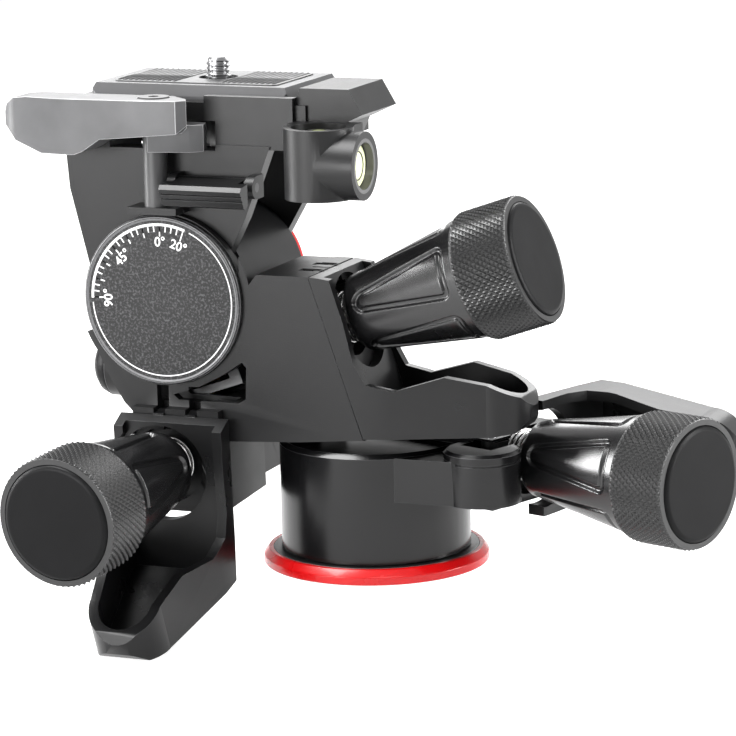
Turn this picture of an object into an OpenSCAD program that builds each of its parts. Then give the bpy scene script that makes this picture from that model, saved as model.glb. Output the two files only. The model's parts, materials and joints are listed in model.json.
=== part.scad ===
// Geared three-axis tripod head: pan, front tilt and side tilt, each driven by its own
// worm knob, with a squeeze lever that lifts the worm out of its wheel for quick moves.
// Millimetres, +Z up. The origin is the centre of the base's underside, on the pan axis.
// The side-tilt dial faces -Y and the pan knob points to +X.

/* [Base] */
// Diameter of the base disc
base_d = 60; // [52:1:70]
// Height of the base disc
base_h = 4.4; // [3.5:0.1:6]
// Bore of the mounting thread in the base (3/8 inch)
mount_thread_d = 9.525; // [8:0.005:12]
// Depth of the mounting thread
mount_thread_depth = 11; // [9:0.5:13]

/* [Pan housing] */
// Diameter of the pan drum
pan_drum_d = 50.4; // [48:0.2:54]
// Height of the pan drum's top face
pan_top_z = 34; // [33.4:0.1:34.2]
// Height of the pan worm line
pan_line_z = 29.6; // [29.2:0.1:29.8]

/* [Axes] */
// Side-tilt axis: distance to the left of the pan axis
roll_axis_x = 48.35; // [47:0.05:50]
// Side-tilt axis: height
roll_axis_z = 72.3; // [72:0.1:74]
// Plane of the side-tilt drive, in front of the pan axis
roll_drive_y = 9.9; // [9.8:0.1:10.2]
// Front-tilt axis: distance behind the pan axis
tilt_axis_y = 8; // [7.8:0.1:9]
// Front-tilt axis: height
tilt_axis_z = 47; // [46.8:0.1:47.4]
// Plane of the front-tilt drive, left of the pan axis
tilt_drive_x = 45; // [44.6:0.1:45.4]
// Slope of the front-tilt drive below the level one
tilt_drive_slope = 22.5; // [21:0.5:24]

/* [Worm drives] */
// Tooth module of the wheels and worms
tooth_module = 0.65; // [0.6:0.01:0.68]
// Teeth of the pan and side-tilt wheels
big_wheel_teeth = 46; // [44:1:46]
// Teeth of the front-tilt wheel
small_wheel_teeth = 36; // [34:1:36]
// Face width of the wheels
wheel_face = 4; // [3:0.1:4.2]
// Pitch radius of the worms
worm_pitch_r = 4.7; // [4.5:0.05:4.8]
// Thickness of the worm thread at the pitch line
thread_w = 0.62; // [0.5:0.01:0.7]
// Angle of the knob line above the lever line
knob_rise = 19; // [17:0.5:20]
// Travel of a worm carrier when its lever is squeezed
release_travel = 1.8; // [1.6:0.1:1.9]
// Diameter of the worm shafts
shaft_d = 6; // [5:0.1:6.4]

/* [Knobs] */
// Length of a knob
knob_len = 52; // [46:1:56]
// Diameter of the knurled grip
grip_d = 34.4; // [31:0.2:35]
// Length of the knurled grip
grip_len = 17; // [14:0.5:19]
// Diameter of the knob's narrow end
knob_neck_d = 20.2; // [18:0.2:21]

/* [Levers] */
// Outer width of a lever at its hinge end
lever_w = 31; // [29.5:0.5:31.4]
// Outer width of a lever at its tip
lever_tip_w = 20; // [17:0.5:23]
// Wall of a lever
lever_wall = 2.6; // [2:0.1:3]

/* [Bracket] */
// Thickness of the bracket's arms
arm_t = 4.2; // [3.6:0.1:4.4]
// Height of the plate seat's top face
seat_z = 123.8; // [122.5:0.1:124.4]
// Depth of the plate seat, front to back
seat_depth = 40; // [39:0.5:42]

/* [Camera plate] */
// Length of the camera plate
plate_len = 57; // [53:0.5:58]
// Depth of the camera plate
plate_depth = 34; // [31:0.5:35]
// Thickness of the camera plate
plate_t = 4.5; // [4:0.1:5]
// Thread of the camera screw (1/4 inch)
camera_thread_d = 6.35; // [6:0.05:9.5]
// Height of the camera screw above the plate
camera_thread_h = 5.6; // [4:0.1:7]

/* [Hidden] */
$fn = 64;
gap = 0.3;
chamber_gap = 1.2;

// ---- drive geometry ----
big_wheel_r = tooth_module*big_wheel_teeth/2;
small_wheel_r = tooth_module*small_wheel_teeth/2;
big_offset = big_wheel_r + worm_pitch_r;
small_offset = small_wheel_r + worm_pitch_r;
tooth_pitch = PI*tooth_module;
worm_outer_r = worm_pitch_r + tooth_module;
worm_root_r = worm_pitch_r - 1.25*tooth_module;
worm_len = 9;
lug_t = 3.2;
lug_in = worm_len/2 + 1.2;
lug_out = lug_in + lug_t;
bush_r = shaft_d/2 + 1.4;
carrier_w = 2*worm_outer_r - 0.1;
carrier_down = 8;
carrier_up = bush_r + 0.7;
// distance along the knob line from the worm to the knob's narrow end
roll_reach = 45.5;
tilt_reach = 40;
pan_reach = 41;
face_gap = 4.2;
// the front-tilt line leans out by about its thread's lead angle
tilt_skew = -5;

// ---- frames: x along the lever, y along the hub axis, z from the worm to the hub ----
module pan_hub() {
  translate([0, 0, pan_line_z]) rotate([90, 0, 0]) children();
}
module tilt_hub() {
  translate([-tilt_drive_x, tilt_axis_y, tilt_axis_z]) rotate([0, 0, -90])
    rotate([0, tilt_drive_slope, 0]) children();
}
module roll_hub() {
  translate([-roll_axis_x, -roll_drive_y, roll_axis_z]) children();
}
// the knob line inside a hub frame: x along the shaft, z towards the hub axis
module line_frame(offset, skew = 0) {
  rotate([0, -knob_rise, 0]) translate([0, 0, -offset]) rotate([0, 0, skew]) children();
}
// a cylinder along x, or along y
module rod_x(r, x0, x1) {
  translate([x0, 0, 0]) rotate([0, 90, 0]) cylinder(r = r, h = x1 - x0);
}
module rod_y(r, y0, y1) {
  translate([0, y1, 0]) rotate([90, 0, 0]) cylinder(r = r, h = y1 - y0);
}
module rod_cone_x(r0, r1, x0, x1) {
  translate([x0, 0, 0]) rotate([0, 90, 0]) cylinder(r1 = r0, r2 = r1, h = x1 - x0);
}
// a profile given in x and z, extruded from y0 to y1
module slab_y(points, y0, y1) {
  translate([0, y1, 0]) rotate([90, 0, 0]) linear_extrude(y1 - y0) polygon(points);
}
module box(a, b) {
  translate(a) cube([b[0] - a[0], b[1] - a[1], b[2] - a[2]]);
}

// ---- worm wheel: straight teeth, a tooth gap facing the worm ----
module toothed_disc(teeth, face, bore_r, face_angle) {
  pitch_r = tooth_module*teeth/2;
  outer_r = pitch_r + tooth_module;
  root_r = pitch_r - 1.2*tooth_module;
  tooth = [[root_r, 0.24], [outer_r, 0.38], [outer_r, 0.62], [root_r, 0.76]];
  rotate([90, 0, 0]) translate([0, 0, -face/2]) difference() {
    linear_extrude(face) polygon([for (i = [0 : teeth - 1]) for (p = tooth)
      let (a = face_angle + (i + p[1])*360/teeth) p[0]*[cos(a), sin(a)]]);
    translate([0, 0, -1]) cylinder(r = bore_r, h = face + 2);
  }
}

// ---- worm: one helical thread on a core, on its shaft ----
thread_sides = 14;
module worm_thread() {
  // one sheet wound round the shaft; at x = 0 its crest faces the wheel (+z)
  half_tip = thread_w/2 - 0.13;
  half_root = thread_w/2 + 0.24;
  profile = [[-half_root, worm_root_r], [-half_tip, worm_outer_r], [half_tip, worm_outer_r],
    [half_root, worm_root_r]];
  turns = ceil(worm_len/2/tooth_pitch) + 1;
  rows = 8*turns + 1;
  points = [for (i = [0 : thread_sides - 1]) for (j = [0 : (i == 0 ? rows + 3 : rows - 1)])
    let (a = 360*i/thread_sides, x = (floor(j/4) - turns + i/thread_sides)*tooth_pitch)
      [x + profile[j % 4][0], profile[j % 4][1]*sin(a), profile[j % 4][1]*cos(a)]];
  count = len(points);
  // after the last side comes the first one, one turn further on
  function at(i, j) = i == thread_sides ? j + 4 : i == 0 ? j : rows + 4 + (i - 1)*rows + j;
  function rim(row) = [for (i = [0 : thread_sides]) at(i, row), for (j = [3 : -1 : 1]) at(0, row + j)];
  walls = [for (i = [0 : thread_sides - 1]) for (j = [0 : rows - 2])
    each [[at(i, j), at(i + 1, j), at(i, j + 1)], [at(i, j + 1), at(i + 1, j), at(i + 1, j + 1)]]];
  near = rim(0);
  far = rim(rows - 1);
  caps = [for (k = [0 : len(near) - 1]) let (m = (k + 1) % len(near))
    each [[count, near[m], near[k]], [count + 1, far[k], far[m]]]];
  intersection() {
    polyhedron([each points, [-2*turns*tooth_pitch, 0, 0], [2*turns*tooth_pitch, 0, 0]],
      [each walls, each caps]);
    box([-worm_len/2, -10, -10], [worm_len/2, 10, 10]);
  }
}
module worm_and_shaft(reach) {
  color([0.72, 0.70, 0.64]) {
    worm_thread();
    rod_x(shaft_d/2, -lug_out - 0.6, reach + 8);
    rod_x(shaft_d/2 + 1, lug_out + 0.3, lug_out + 1.6);
  }
}
module bushes() {
  color([0.78, 0.62, 0.30])
    for (x = [-lug_out, lug_in]) difference() {
      rod_x(bush_r, x, x + lug_t);
      rod_x(shaft_d/2 + 0.05, x - 1, x + lug_t + 1);
    }
}
// yoke that holds the worm shaft; it slides away from the wheel on release
module carrier() {
  color([0.25, 0.25, 0.27]) difference() {
    box([-lug_out, -carrier_w/2, -carrier_down], [lug_out, carrier_w/2, carrier_up]);
    box([-lug_in, -carrier_w/2 - 1, -worm_outer_r - 0.5], [lug_in, carrier_w/2 + 1, carrier_up + 1]);
    rod_x(bush_r + 0.02, -lug_out - 1, lug_out + 1);
  }
}

// ---- knob: a smooth cone with sunk panels, a knurled grip and a flat cap ----
cone_end_d = grip_d - 2.2;
module knob_panel(cone_len) {
  // tapered, round-ended recess outline
  near = cone_len*0.24;
  far = cone_len*0.80;
  polygon([[near, -2.3], [far, -6.6], [far + 2, -4.6], [far + 2, 4.6], [far, 6.6], [near, 2.3]]);
  translate([near, 0]) circle(r = 2.3);
  for (s = [-1, 1]) translate([far, 4.6*s]) circle(r = 2);
}
module knob_body(reach) {
  cone_len = knob_len - grip_len;
  slope = atan((cone_end_d - knob_neck_d)/2/cone_len);
  color([0.11, 0.11, 0.12]) translate([reach, 0, 0]) difference() {
    union() {
      rod_cone_x(knob_neck_d/2 - 0.8, knob_neck_d/2, 0, 0.8);
      rod_cone_x(knob_neck_d/2, cone_end_d/2, 0.8, cone_len);
      rod_x(grip_d/2 - 2, cone_len, knob_len - 2.6);
    }
    rod_x(shaft_d/2, -1, 8.01);
    for (a = [0 : 72 : 359]) rotate([a, 0, 0])
      translate([0, 0, knob_neck_d/2 - 0.9]) rotate([0, -slope, 0])
        difference() {
          linear_extrude(6) knob_panel(cone_len);
          translate([0, 0, -1]) linear_extrude(1.5)
            translate([cone_len*0.27, 0]) scale([0.62, 0.5]) knob_panel(cone_len);
        }
  }
}
module knob_grip(reach) {
  x0 = reach + knob_len - grip_len;
  color([0.16, 0.16, 0.17]) difference() {
    union() {
      rod_cone_x(grip_d/2 - 0.7, grip_d/2 - 0.2, x0, x0 + 0.6);
      rod_cone_x(grip_d/2 - 0.2, grip_d/2, x0 + 0.6, x0 + grip_len - 1.4);
      rod_cone_x(grip_d/2, grip_d/2 - 0.9, x0 + grip_len - 1.4, x0 + grip_len - 0.5);
    }
    rod_x(grip_d/2 - 2, x0 - 1, x0 + grip_len + 1);
  }
}
module knob_cap(reach) {
  x1 = reach + knob_len;
  color([0.13, 0.13, 0.14]) {
    rod_x(grip_d/2 - 2, x1 - 2.6, x1 - 0.8);
    rod_cone_x(grip_d/2 - 2, grip_d/2 - 3, x1 - 0.8, x1);
  }
}

// ---- squeeze lever: a channel under the knob, with an arch round its shaft ----
// all three levers are the same piece, drawn for the side tilt and moved to the others
module lever_frame(reach, offset) {
  back = reach - roll_reach;
  down = offset - big_offset;
  translate([down*sin(knob_rise) + back*cos(knob_rise), 0, back*sin(knob_rise) - down*cos(knob_rise)])
    children();
}
lever_floor_z = -34;
lever_end_x = 97.6;
module lever_side() {
  // side outline, x along the lever
  polygon([[53, lever_floor_z], [88, -32.4], [94.5, -31.4], [97, -28.4], [lever_end_x, -25], [95.6, -22.2],
    [88, -18.9], [77, -17], [64, -21], [56.5, -19.6], [53.2, -14], [50.8, -4], [47, 7.4],
    [38, 8.4], [38, -10]]);
}
module lever_plan(inset) {
  half = lever_w/2 - inset;
  tip_r = lever_tip_w/2 - inset;
  tip_x = lever_end_x - lever_tip_w/2;
  polygon([[20, -half], [52, -half], [62, 0.6 - half], [tip_x, -tip_r], [tip_x, tip_r], [62, half - 0.6],
    [52, half], [20, half]]);
  translate([tip_x, 0]) circle(r = tip_r);
}
knob_room = knob_neck_d/2 + release_travel + 1;
module lever(reach, offset, hood, skew = 0) {
  color([0.13, 0.13, 0.14]) {
    difference() {
      lever_frame(reach, offset) difference() {
        intersection() {
          rotate([90, 0, 0]) translate([0, 0, -20]) linear_extrude(40) lever_side();
          translate([0, 0, -60]) linear_extrude(90) lever_plan(0);
          line_frame(big_offset) box([roll_reach - face_gap + gap, -30, -60], [roll_reach + 80, 30, hood]);
        }
        // channel, open towards the knob
        difference() {
          translate([0, 0, lever_floor_z + 4]) linear_extrude(90) lever_plan(lever_wall);
          line_frame(big_offset) box([-20, -30, -60], [roll_reach - 0.9, 30, 60]);
        }
      }
      line_frame(offset, skew) {
        translate([0, 0, -1.4]) rod_x(knob_room, reach - 8, reach + knob_len);
        rod_cone_x(knob_room, grip_d/2 + 4, reach, reach + knob_len);
      }
    }
    lever_ears(reach, offset);
  }
}
// ears that carry the lever on its pin, inside slots of the housing
pin_r = 1.6;
pin_back = 7.4;
pin_v = 11.8;
ear_r = 2.6;
ear_y0 = 3.2;
ear_y1 = 6;
pin_half = 7.2;
// the hood ends just above the pin, so that it clears the housing when it swings
hood_v = pin_v + 1.8;
module lever_ears(reach, offset) {
  line_frame(offset) for (side = [0, 1]) mirror([0, side, 0]) difference() {
    union() {
      translate([reach - pin_back, 0, pin_v]) rod_y(ear_r, ear_y0, ear_y1);
      box([reach - pin_back, ear_y0, pin_v - 2.2], [reach - face_gap + 0.8, ear_y1, pin_v + 2.2]);
    }
    translate([reach - pin_back, 0, pin_v]) rod_y(pin_r + 0.05, ear_y0 - 1, ear_y1 + 1);
  }
}
module lever_pin(reach, offset) {
  color([0.62, 0.62, 0.63]) line_frame(offset) translate([reach - pin_back, 0, pin_v])
    rod_y(pin_r, -pin_half, pin_half);
}
// what a housing gives up at the end of a drive: pin hole, ear slots, spring recess
recess_r = 10.2;
recess_depth = 3.6;
module drive_end_cuts(reach, offset, skew = 0) {
  line_frame(offset) {
    translate([reach - pin_back, 0, pin_v]) rod_y(pin_r, -pin_half, pin_half);
    for (side = [0, 1]) mirror([0, side, 0])
      box([reach - pin_back - ear_r - 0.4, ear_y0 - gap, pin_v - ear_r - 0.6],
        [reach, ear_y1 + gap, pin_v + 9]);
  }
  line_frame(offset, skew) rod_x(recess_r, reach - face_gap - recess_depth, reach);
}
// ---- coil spring round the shaft, behind the knob's neck ----
spring_r = 6.6;
spring_wire = 0.9;
module shaft_spring(reach) {
  rings = 14;
  turns = 4;
  sides = 6;
  x0 = reach - face_gap - recess_depth + gap + spring_wire/2;
  rise = (reach - 0.2 - spring_wire/2 - x0)/turns;
  points = [for (i = [0 : rings*turns]) let (a = 360*i/rings)
    for (k = [0 : sides - 1]) let (b = 360*k/sides, r = spring_r + spring_wire/2*cos(b))
      [x0 + rise*a/360 + spring_wire/2*sin(b), r*cos(a), r*sin(a)]];
  centres = [for (i = [0 : rings*turns]) let (a = 360*i/rings)
    [x0 + rise*a/360, spring_r*cos(a), spring_r*sin(a)]];
  least = min([for (i = [0 : rings*turns - rings/2]) for (j = [i + rings/2 : rings*turns])
    norm(centres[i] - centres[j])]) - spring_wire;
  echo("least gap between the spring's turns, mm", least);
  last = sides*rings*turns;
  faces = [for (i = [0 : rings*turns - 1]) for (k = [0 : sides - 1])
    let (p = sides*i + k, q = sides*i + (k + 1) % sides)
      each [[p, q, p + sides], [q, q + sides, p + sides]]];
  color([0.75, 0.75, 0.74]) polyhedron(points, [each faces,
    [for (k = [sides - 1 : -1 : 0]) k], [for (k = [0 : sides - 1]) last + k]]);
}
// ---- base ----
spindle_r = 7;
wheel_top = pan_line_z + wheel_face/2;
module base_plate() {
  color([0.06, 0.06, 0.065]) difference() {
    union() {
      cylinder(r = base_d/2 - 2.6, h = base_h);
      cylinder(r = 12.5, h = 11);
    }
    translate([0, 0, -1]) cylinder(r = 8, h = 14);
    for (a = [30 : 120 : 359]) rotate(a) translate([20, 0, -1]) cylinder(r = 1.7, h = 3);
  }
}
module base_ring() {
  color([0.78, 0.02, 0.03]) rotate_extrude($fn = 128)
    polygon([[base_d/2 - 2.6, 0.4], [base_d/2 - 0.3, 0.4], [base_d/2, 0.7], [base_d/2, 2.6],
      [base_d/2 - 1.4, base_h], [base_d/2 - 2.6, base_h]]);
}
module base_insert() {
  color([0.70, 0.70, 0.68]) difference() {
    cylinder(r = 8, h = mount_thread_depth + 0.2);
    translate([0, 0, -1]) cylinder(d = mount_thread_d, h = mount_thread_depth + 1);
  }
}
module pan_spindle() {
  color([0.62, 0.62, 0.62]) {
    translate([0, 0, mount_thread_depth + 0.2]) cylinder(r = spindle_r, h = 1.4);
    translate([0, 0, mount_thread_depth + 1.5])
      cylinder(r = spindle_r, h = pan_line_z - wheel_face/2 - mount_thread_depth - 1.5);
    translate([0, 0, pan_line_z - wheel_face/2]) cylinder(r = 4, h = wheel_face - 0.9);
  }
}
module pan_wheel() {
  color([0.76, 0.60, 0.28]) pan_hub() difference() {
    toothed_disc(big_wheel_teeth, wheel_face, 4, knob_rise - 90);
    rod_y(7, wheel_face/2 - 0.9, wheel_face);
  }
}
module pan_nut() {
  color([0.55, 0.55, 0.56]) translate([0, 0, wheel_top - 0.9]) difference() {
    cylinder(r = 6.4, h = 0.9, $fn = 6);
    translate([0, 0, 0.4]) cube([9, 1.2, 1], center = true);
  }
}
module pan_bushing() {
  color([0.85, 0.83, 0.74]) difference() {
    union() {
      translate([0, 0, 11.3]) cylinder(r = 9.5, h = pan_line_z - wheel_face/2 - 11.3 - 1);
      translate([0, 0, 11.3]) cylinder(r = 11.6, h = 1.6);
    }
    translate([0, 0, 10]) cylinder(r = spindle_r + 0.05, h = 30);
    translate([0, 0, 10]) cylinder(r = 8.2, h = 1.6);
  }
}

// ---- pan housing: drum, worm case at the back, boss and upright of the front-tilt axis ----
upright_x0 = -24.4;
upright_x1 = -15;
axle_r = 3.5;
module line_cavity(reach, offset, skew = 0) {
  // room for the carrier and its travel, open away from the hub, and the shaft's passage
  line_frame(offset, skew) {
    box([-lug_out - 1.2, -worm_outer_r - 0.4, -carrier_down - release_travel - 0.4],
      [lug_out + 2, worm_outer_r + 0.4, carrier_up + 0.4]);
    rod_x(shaft_d/2 + 0.6, lug_out, reach + 5);
    translate([0, 0, -release_travel]) rod_x(shaft_d/2 + 0.6, lug_out, reach + 5);
    box([lug_out, -shaft_d/2 - 0.6, -release_travel], [reach + 5, shaft_d/2 + 0.6, 0]);
  }
}
module pan_housing() {
  case_end = pan_reach - face_gap;
  color([0.12, 0.12, 0.13]) difference() {
    union() {
      translate([0, 0, base_h + gap]) cylinder(d = pan_drum_d, h = pan_top_z - base_h - gap - 1.2,
        $fn = 128);
      translate([0, 0, pan_top_z - 1.2]) cylinder(d1 = pan_drum_d, d2 = pan_drum_d - 2.4, h = 1.2,
        $fn = 128);
      // worm case
      pan_hub() intersection() {
        line_frame(big_offset) box([-17, -12, -13.5], [case_end, 6.9, 15.4]);
        box([-14, -20, -40], [60, 8, 12]);
      }
      // boss beside the knob's neck
      translate([35.2, -12.5, 21.4]) cylinder(r = 10, h = 13.2);
      translate([35.2, -12.5, 34.6]) cylinder(r1 = 10, r2 = 9, h = 0.8);
      box([14, -21, 21.4], [35, -2, 33]);
      // upright that carries the front-tilt axle
      box([upright_x0, tilt_axis_y - 9, pan_top_z - 6], [upright_x1, tilt_axis_y + 9, tilt_axis_z]);
      translate([0, tilt_axis_y, tilt_axis_z]) rod_x(9, upright_x0, upright_x1);
    }
    // parting groove round the boss
    translate([35.2, -12.5, 32.2]) difference() {
      cylinder(r = 12, h = 0.6);
      translate([0, 0, -1]) cylinder(r = 9.5, h = 3);
      box([-20, -20, -1], [-4, 20, 2]);
      box([-20, 3, -1], [20, 20, 2]);
    }
    // wheel chamber and bushing seat
    translate([0, 0, pan_line_z - wheel_face/2 - gap])
      cylinder(r = big_wheel_r + chamber_gap, h = wheel_face + 2*gap);
    translate([0, 0, 0]) cylinder(r = 9.5, h = pan_line_z);
    translate([0, 0, 0]) cylinder(r = 13, h = 12.9);
    pan_hub() line_cavity(pan_reach, big_offset);
    translate([0, tilt_axis_y, tilt_axis_z]) rod_x(axle_r, upright_x0 - 1, upright_x1 + 1);
    pan_hub() drive_end_cuts(pan_reach, big_offset);
  }
}
module tilt_axle() {
  color([0.60, 0.60, 0.61]) translate([0, tilt_axis_y, tilt_axis_z]) {
    rod_x(axle_r, -80.5, upright_x1);
    rod_x(6.2, upright_x1, upright_x1 + 1.8);
  }
}
module tilt_wheel() {
  color([0.76, 0.60, 0.28])
    translate([-tilt_drive_x, tilt_axis_y, tilt_axis_z]) rotate([0, 0, -90])
      toothed_disc(small_wheel_teeth, wheel_face, axle_r, knob_rise - tilt_drive_slope - 90);
}

// ---- tilt body: dial plate, side-tilt hub, gear block, skirt and front-tilt cases ----
module at_roll() {
  translate([-roll_axis_x, 0, roll_axis_z]) children();
}
front_y = -25;
dial_r = 22.5;
plate_front_t = 2.6;
drum_half = 17.4;
arm_y0 = drum_half + 0.4;
arm_y1 = arm_y0 + arm_t;
hub_room = 23.4;
module body_outline() {
  // front view round the dial, the skirt and the gear block
  difference() {
    union() {
      polygon([[-25.4, 1], [-22.6, -9.4], [-16.2, -22.5], [-12.6, -28.2], [-7.7, -33], [-2.2, -36.4],
        [4.7, -37.6], [37.8, -35.8], [52, -34.5], [60, -34], [60, 8], [26.5, 7.8], [22, 2]]);
      circle(r = 24.8, $fn = 96);
    }
    // open at the top left, where the pointer tab swings
    difference() {
      polygon([[0, 0], 60*[cos(203), sin(203)], [-60, 60], [21.6, 60], [21.6, 8]]);
      circle(r = dial_r + 0.45, $fn = 96);
    }
  }
}
module window_outline() {
  polygon([[21.8, -15.6], [23, -17], [22.6, -25.4], [20.5, -26.6], [3.4, -26.6], [1.8, -25.3],
    [9, -23], [16, -19.4]]);
}
module tilt_body() {
  color([0.13, 0.13, 0.14]) difference() {
    union() {
      intersection() {
        union() {
          // dial plate and skirt wall
          at_roll() rotate([90, 0, 0]) translate([0, 0, -front_y - plate_front_t])
            linear_extrude(plate_front_t) body_outline();
          // gear block
          difference() {
            at_roll() slab_y([[18, -19], [24, -12], [26.4, 7.8], [60, 8], [60, -34.3], [54, -34.6],
              [38, -35.6], [18, -31]], front_y + 1, -2.8);
            at_roll() rod_y(hub_room, -30, -drum_half);
          }
          at_roll() slab_y([[12, -15], [20, 2], [26.5, 7.8], [60, 8], [60, -15]], -10, 5.5);
          // shelf that carries the dial plate, below the bracket's arm
          at_roll() slab_y([[-13, -27.8], [20, -27.8], [20, -31], [-10, -31]], front_y + 1, -10);
          at_roll() slab_y([[36, -34], [36, 8], [60, 8], [60, -34]], -10, 5.5);
        }
        roll_hub() line_frame(big_offset) box([-90, -40, -60], [roll_reach - face_gap, 60, 60]);
      }
      // side-tilt hub drum
      at_roll() rod_y(21.5, -drum_half, drum_half);
      // web from the drum down to the front-tilt tube
      box([-roll_axis_x - 13, -drum_half, tilt_axis_z - 6],
        [-roll_axis_x + 18, tilt_axis_y, roll_axis_z - 14]);
      // bearing tube and wheel case of the front tilt
      translate([0, tilt_axis_y, tilt_axis_z]) rod_x(8.6, -79, -26.2);
      translate([0, tilt_axis_y, tilt_axis_z]) rod_x(small_wheel_r + tooth_module + 0.9,
        -tilt_drive_x - 5, -tilt_drive_x + 5);
      // front-tilt worm case and neck
      tilt_hub() line_frame(small_offset, tilt_skew) box([-11.8, -7.2, -12.6], [14, 7.2, 8]);
      tilt_hub() line_frame(small_offset) {
        box([8, -12.4, -12.6], [tilt_reach - face_gap, 12.4, 9]);
        box([tilt_reach - face_gap - 8, -12.4, -12.6], [tilt_reach - face_gap, 12.4, 15.2]);
      }
    }
    // dial seat
    at_roll() rod_y(dial_r + 0.15, front_y - 1, front_y + 0.8);
    // window beside the gear block
    at_roll() rotate([90, 0, 0]) translate([0, 0, 5]) linear_extrude(40) window_outline();
    // side-tilt wheel chamber and axle
    at_roll() rod_y(big_wheel_r + chamber_gap, -roll_drive_y - wheel_face/2 - gap,
      -roll_drive_y + wheel_face/2 + gap);
    at_roll() rod_y(roll_axle_r + 0.05, -drum_half - 1, drum_half + 1);
    roll_hub() line_cavity(roll_reach, big_offset);
    roll_hub() drive_end_cuts(roll_reach, big_offset);
    // front-tilt wheel chamber and axle
    translate([0, tilt_axis_y, tilt_axis_z]) {
      rod_x(small_wheel_r + chamber_gap, -tilt_drive_x - wheel_face/2 - gap,
        -tilt_drive_x + wheel_face/2 + gap);
      rod_x(axle_r + 0.05, -90, -20);
    }
    tilt_hub() line_cavity(tilt_reach, small_offset, tilt_skew);
    tilt_hub() drive_end_cuts(tilt_reach, small_offset, tilt_skew);
  }
}
module tilt_end_cap() {
  color([0.30, 0.30, 0.31]) translate([-79, tilt_axis_y, tilt_axis_z]) rotate([0, -90, 0])
    rotate_extrude() polygon([[0, 1.8], [0, 5.4], [3, 5.2], [5.6, 4.4], [7.6, 2.8], [8.6, 0.6],
      [8.6, 0], [4.4, 0], [4.4, 1.8]]);
}
module tilt_red_ring() {
  color([0.75, 0.02, 0.03]) translate([0, tilt_axis_y, tilt_axis_z]) difference() {
    rod_x(8.6, -26.2, -24.8);
    rod_x(axle_r + 0.05, -27, -24);
  }
}
roll_axle_r = 4;
module roll_dial() {
  color([0.17, 0.17, 0.175]) at_roll() translate([0, front_y + 0.8, 0]) rotate([90, 0, 0])
    rotate_extrude($fn = 128) polygon([[0, 0], [dial_r, 0], [dial_r, 2.1], [dial_r - 0.5, 2.6],
      [dial_r - 1, 2.6], [dial_r - 1.2, 2.4], [0, 2.4]]);
}

// ---- bracket: two arms on the side-tilt axle and the camera plate's seat ----
plate_x0 = -72.2;
seat_t = 11.6;
module bracket_arm(outline, y0, y1, hub_r) {
  at_roll() {
    slab_y(outline, y0, y1);
    rod_y(hub_r, y0, y1);
  }
}
module bracket() {
  seat_x0 = -77;
  seat_x1 = -9;
  under = seat_z - seat_t - roll_axis_z;
  color([0.14, 0.14, 0.145]) difference() {
    union() {
      bracket_arm([[-21, 0], [-24, 12], [-28, 28], [-29, under + 1], [30, under + 1], [22.6, 22],
        [16, 9], [15, 4]], -arm_y1, -arm_y0, 21);
      bracket_arm([[-15.4, 0], [-15.4, 12], [-26, under + 1], [30, under + 1], [22.6, 22], [15, 9], [14, 4]],
        arm_y0, arm_y1, 15.6);
      // ribs from the arms to the seat
      for (y = [-arm_y0 - 0.1, arm_y0 - 3.9]) at_roll()
        slab_y([[-22, under - 5], [-27, under + 1], [29, under + 1], [24, under - 5]], y, y + 4);
      // seat block
      box([seat_x0, -seat_depth/2, seat_z - seat_t], [seat_x1, seat_depth/2 + 2, seat_z]);
      // raised dovetail wing on the right
      slab_y([[seat_x1 - 6, seat_z - seat_t], [seat_x1 - 6, seat_z], [-12.6, seat_z],
        [-11, seat_z + 4.4], [2.6, seat_z + 4.4], [6.4, seat_z - 2], [-1, seat_z - 5.4],
        [-4, seat_z - seat_t]], -seat_depth/2 + 1, 4);
      // curved front wall
      translate([-30, -seat_depth/2 - 1.5, seat_z - seat_t]) box([-7, 0, 0], [18, 3, 13.6]);
      // vial tower and cross barrel
      translate([vial_x, vial_y, seat_z - 22.2]) cylinder(r = 9, h = 18.2);
      translate([0, vial_y, barrel_z]) rod_x(8.8, vial_x, barrel_x1);
      box([-12, -26, seat_z - 11.5], [6, -18, seat_z - 4]);
      // pointer tab above the dial
      at_roll() slab_y([[-5.4, 23.2], [6.8, 23.4], [6.4, 24.2], [5, 27], [-4, 27]],
        -arm_y1 - 3.4, -arm_y1 + 1);
      // ledge of the locking lever's post
      box([-56, -29.8, ledge_z0], [-42, -arm_y1 + 1, ledge_z0 + 1.8]);
      // ears of the safety catch
      for (x = [catch_x0 - 2.6, catch_x1 + gap]) {
        translate([0, catch_y, catch_z]) rod_x(3, x, x + 2.3);
        box([x, catch_y, catch_z - 3], [x + 2.3, -arm_y1 + 1, catch_z + 3]);
      }
    }
    // plate pocket, channel between the arms and lightening pocket
    box([plate_x0 - gap, -plate_depth/2 - gap, plate_z],
      [plate_x0 + plate_len + gap, plate_depth/2 + gap, seat_z + 1]);
    translate([vial_x, vial_y, vial_z0]) cylinder(r = vial_r, h = 5);
    translate([0, vial_y, barrel_z]) rod_x(barrel_bore_r, barrel_x0, barrel_x1 + 3);
    at_roll() rod_y(roll_axle_r, -arm_y1 - 1, arm_y1 + 1);
    // notch of the pointer
    at_roll() slab_y([[-2.6, 23], [-1.2, 26], [-3.4, 28], [-4.4, 28]], -arm_y1 - 4, -arm_y1 - 2.4);
    // room behind the screw head of the camera plate
    translate([screw_x, 0, seat_z - 4.6]) cylinder(r = 9.6, h = 6);
    // seat of the locking lever's post and the nose's sweep
    translate([post_x, post_y, ledge_z0 + 1]) cylinder(r = post_r, h = 10);
    translate([post_x, post_y, nose_z0 - gap]) cylinder(r = nose_reach + 0.6, h = nose_z1 - nose_z0 + 2*gap);
    // hinge bore of the safety catch
    translate([0, catch_y, catch_z]) rod_x(catch_pin_r, catch_x0 - 4, catch_x1 + 4);
  }
}
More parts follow.
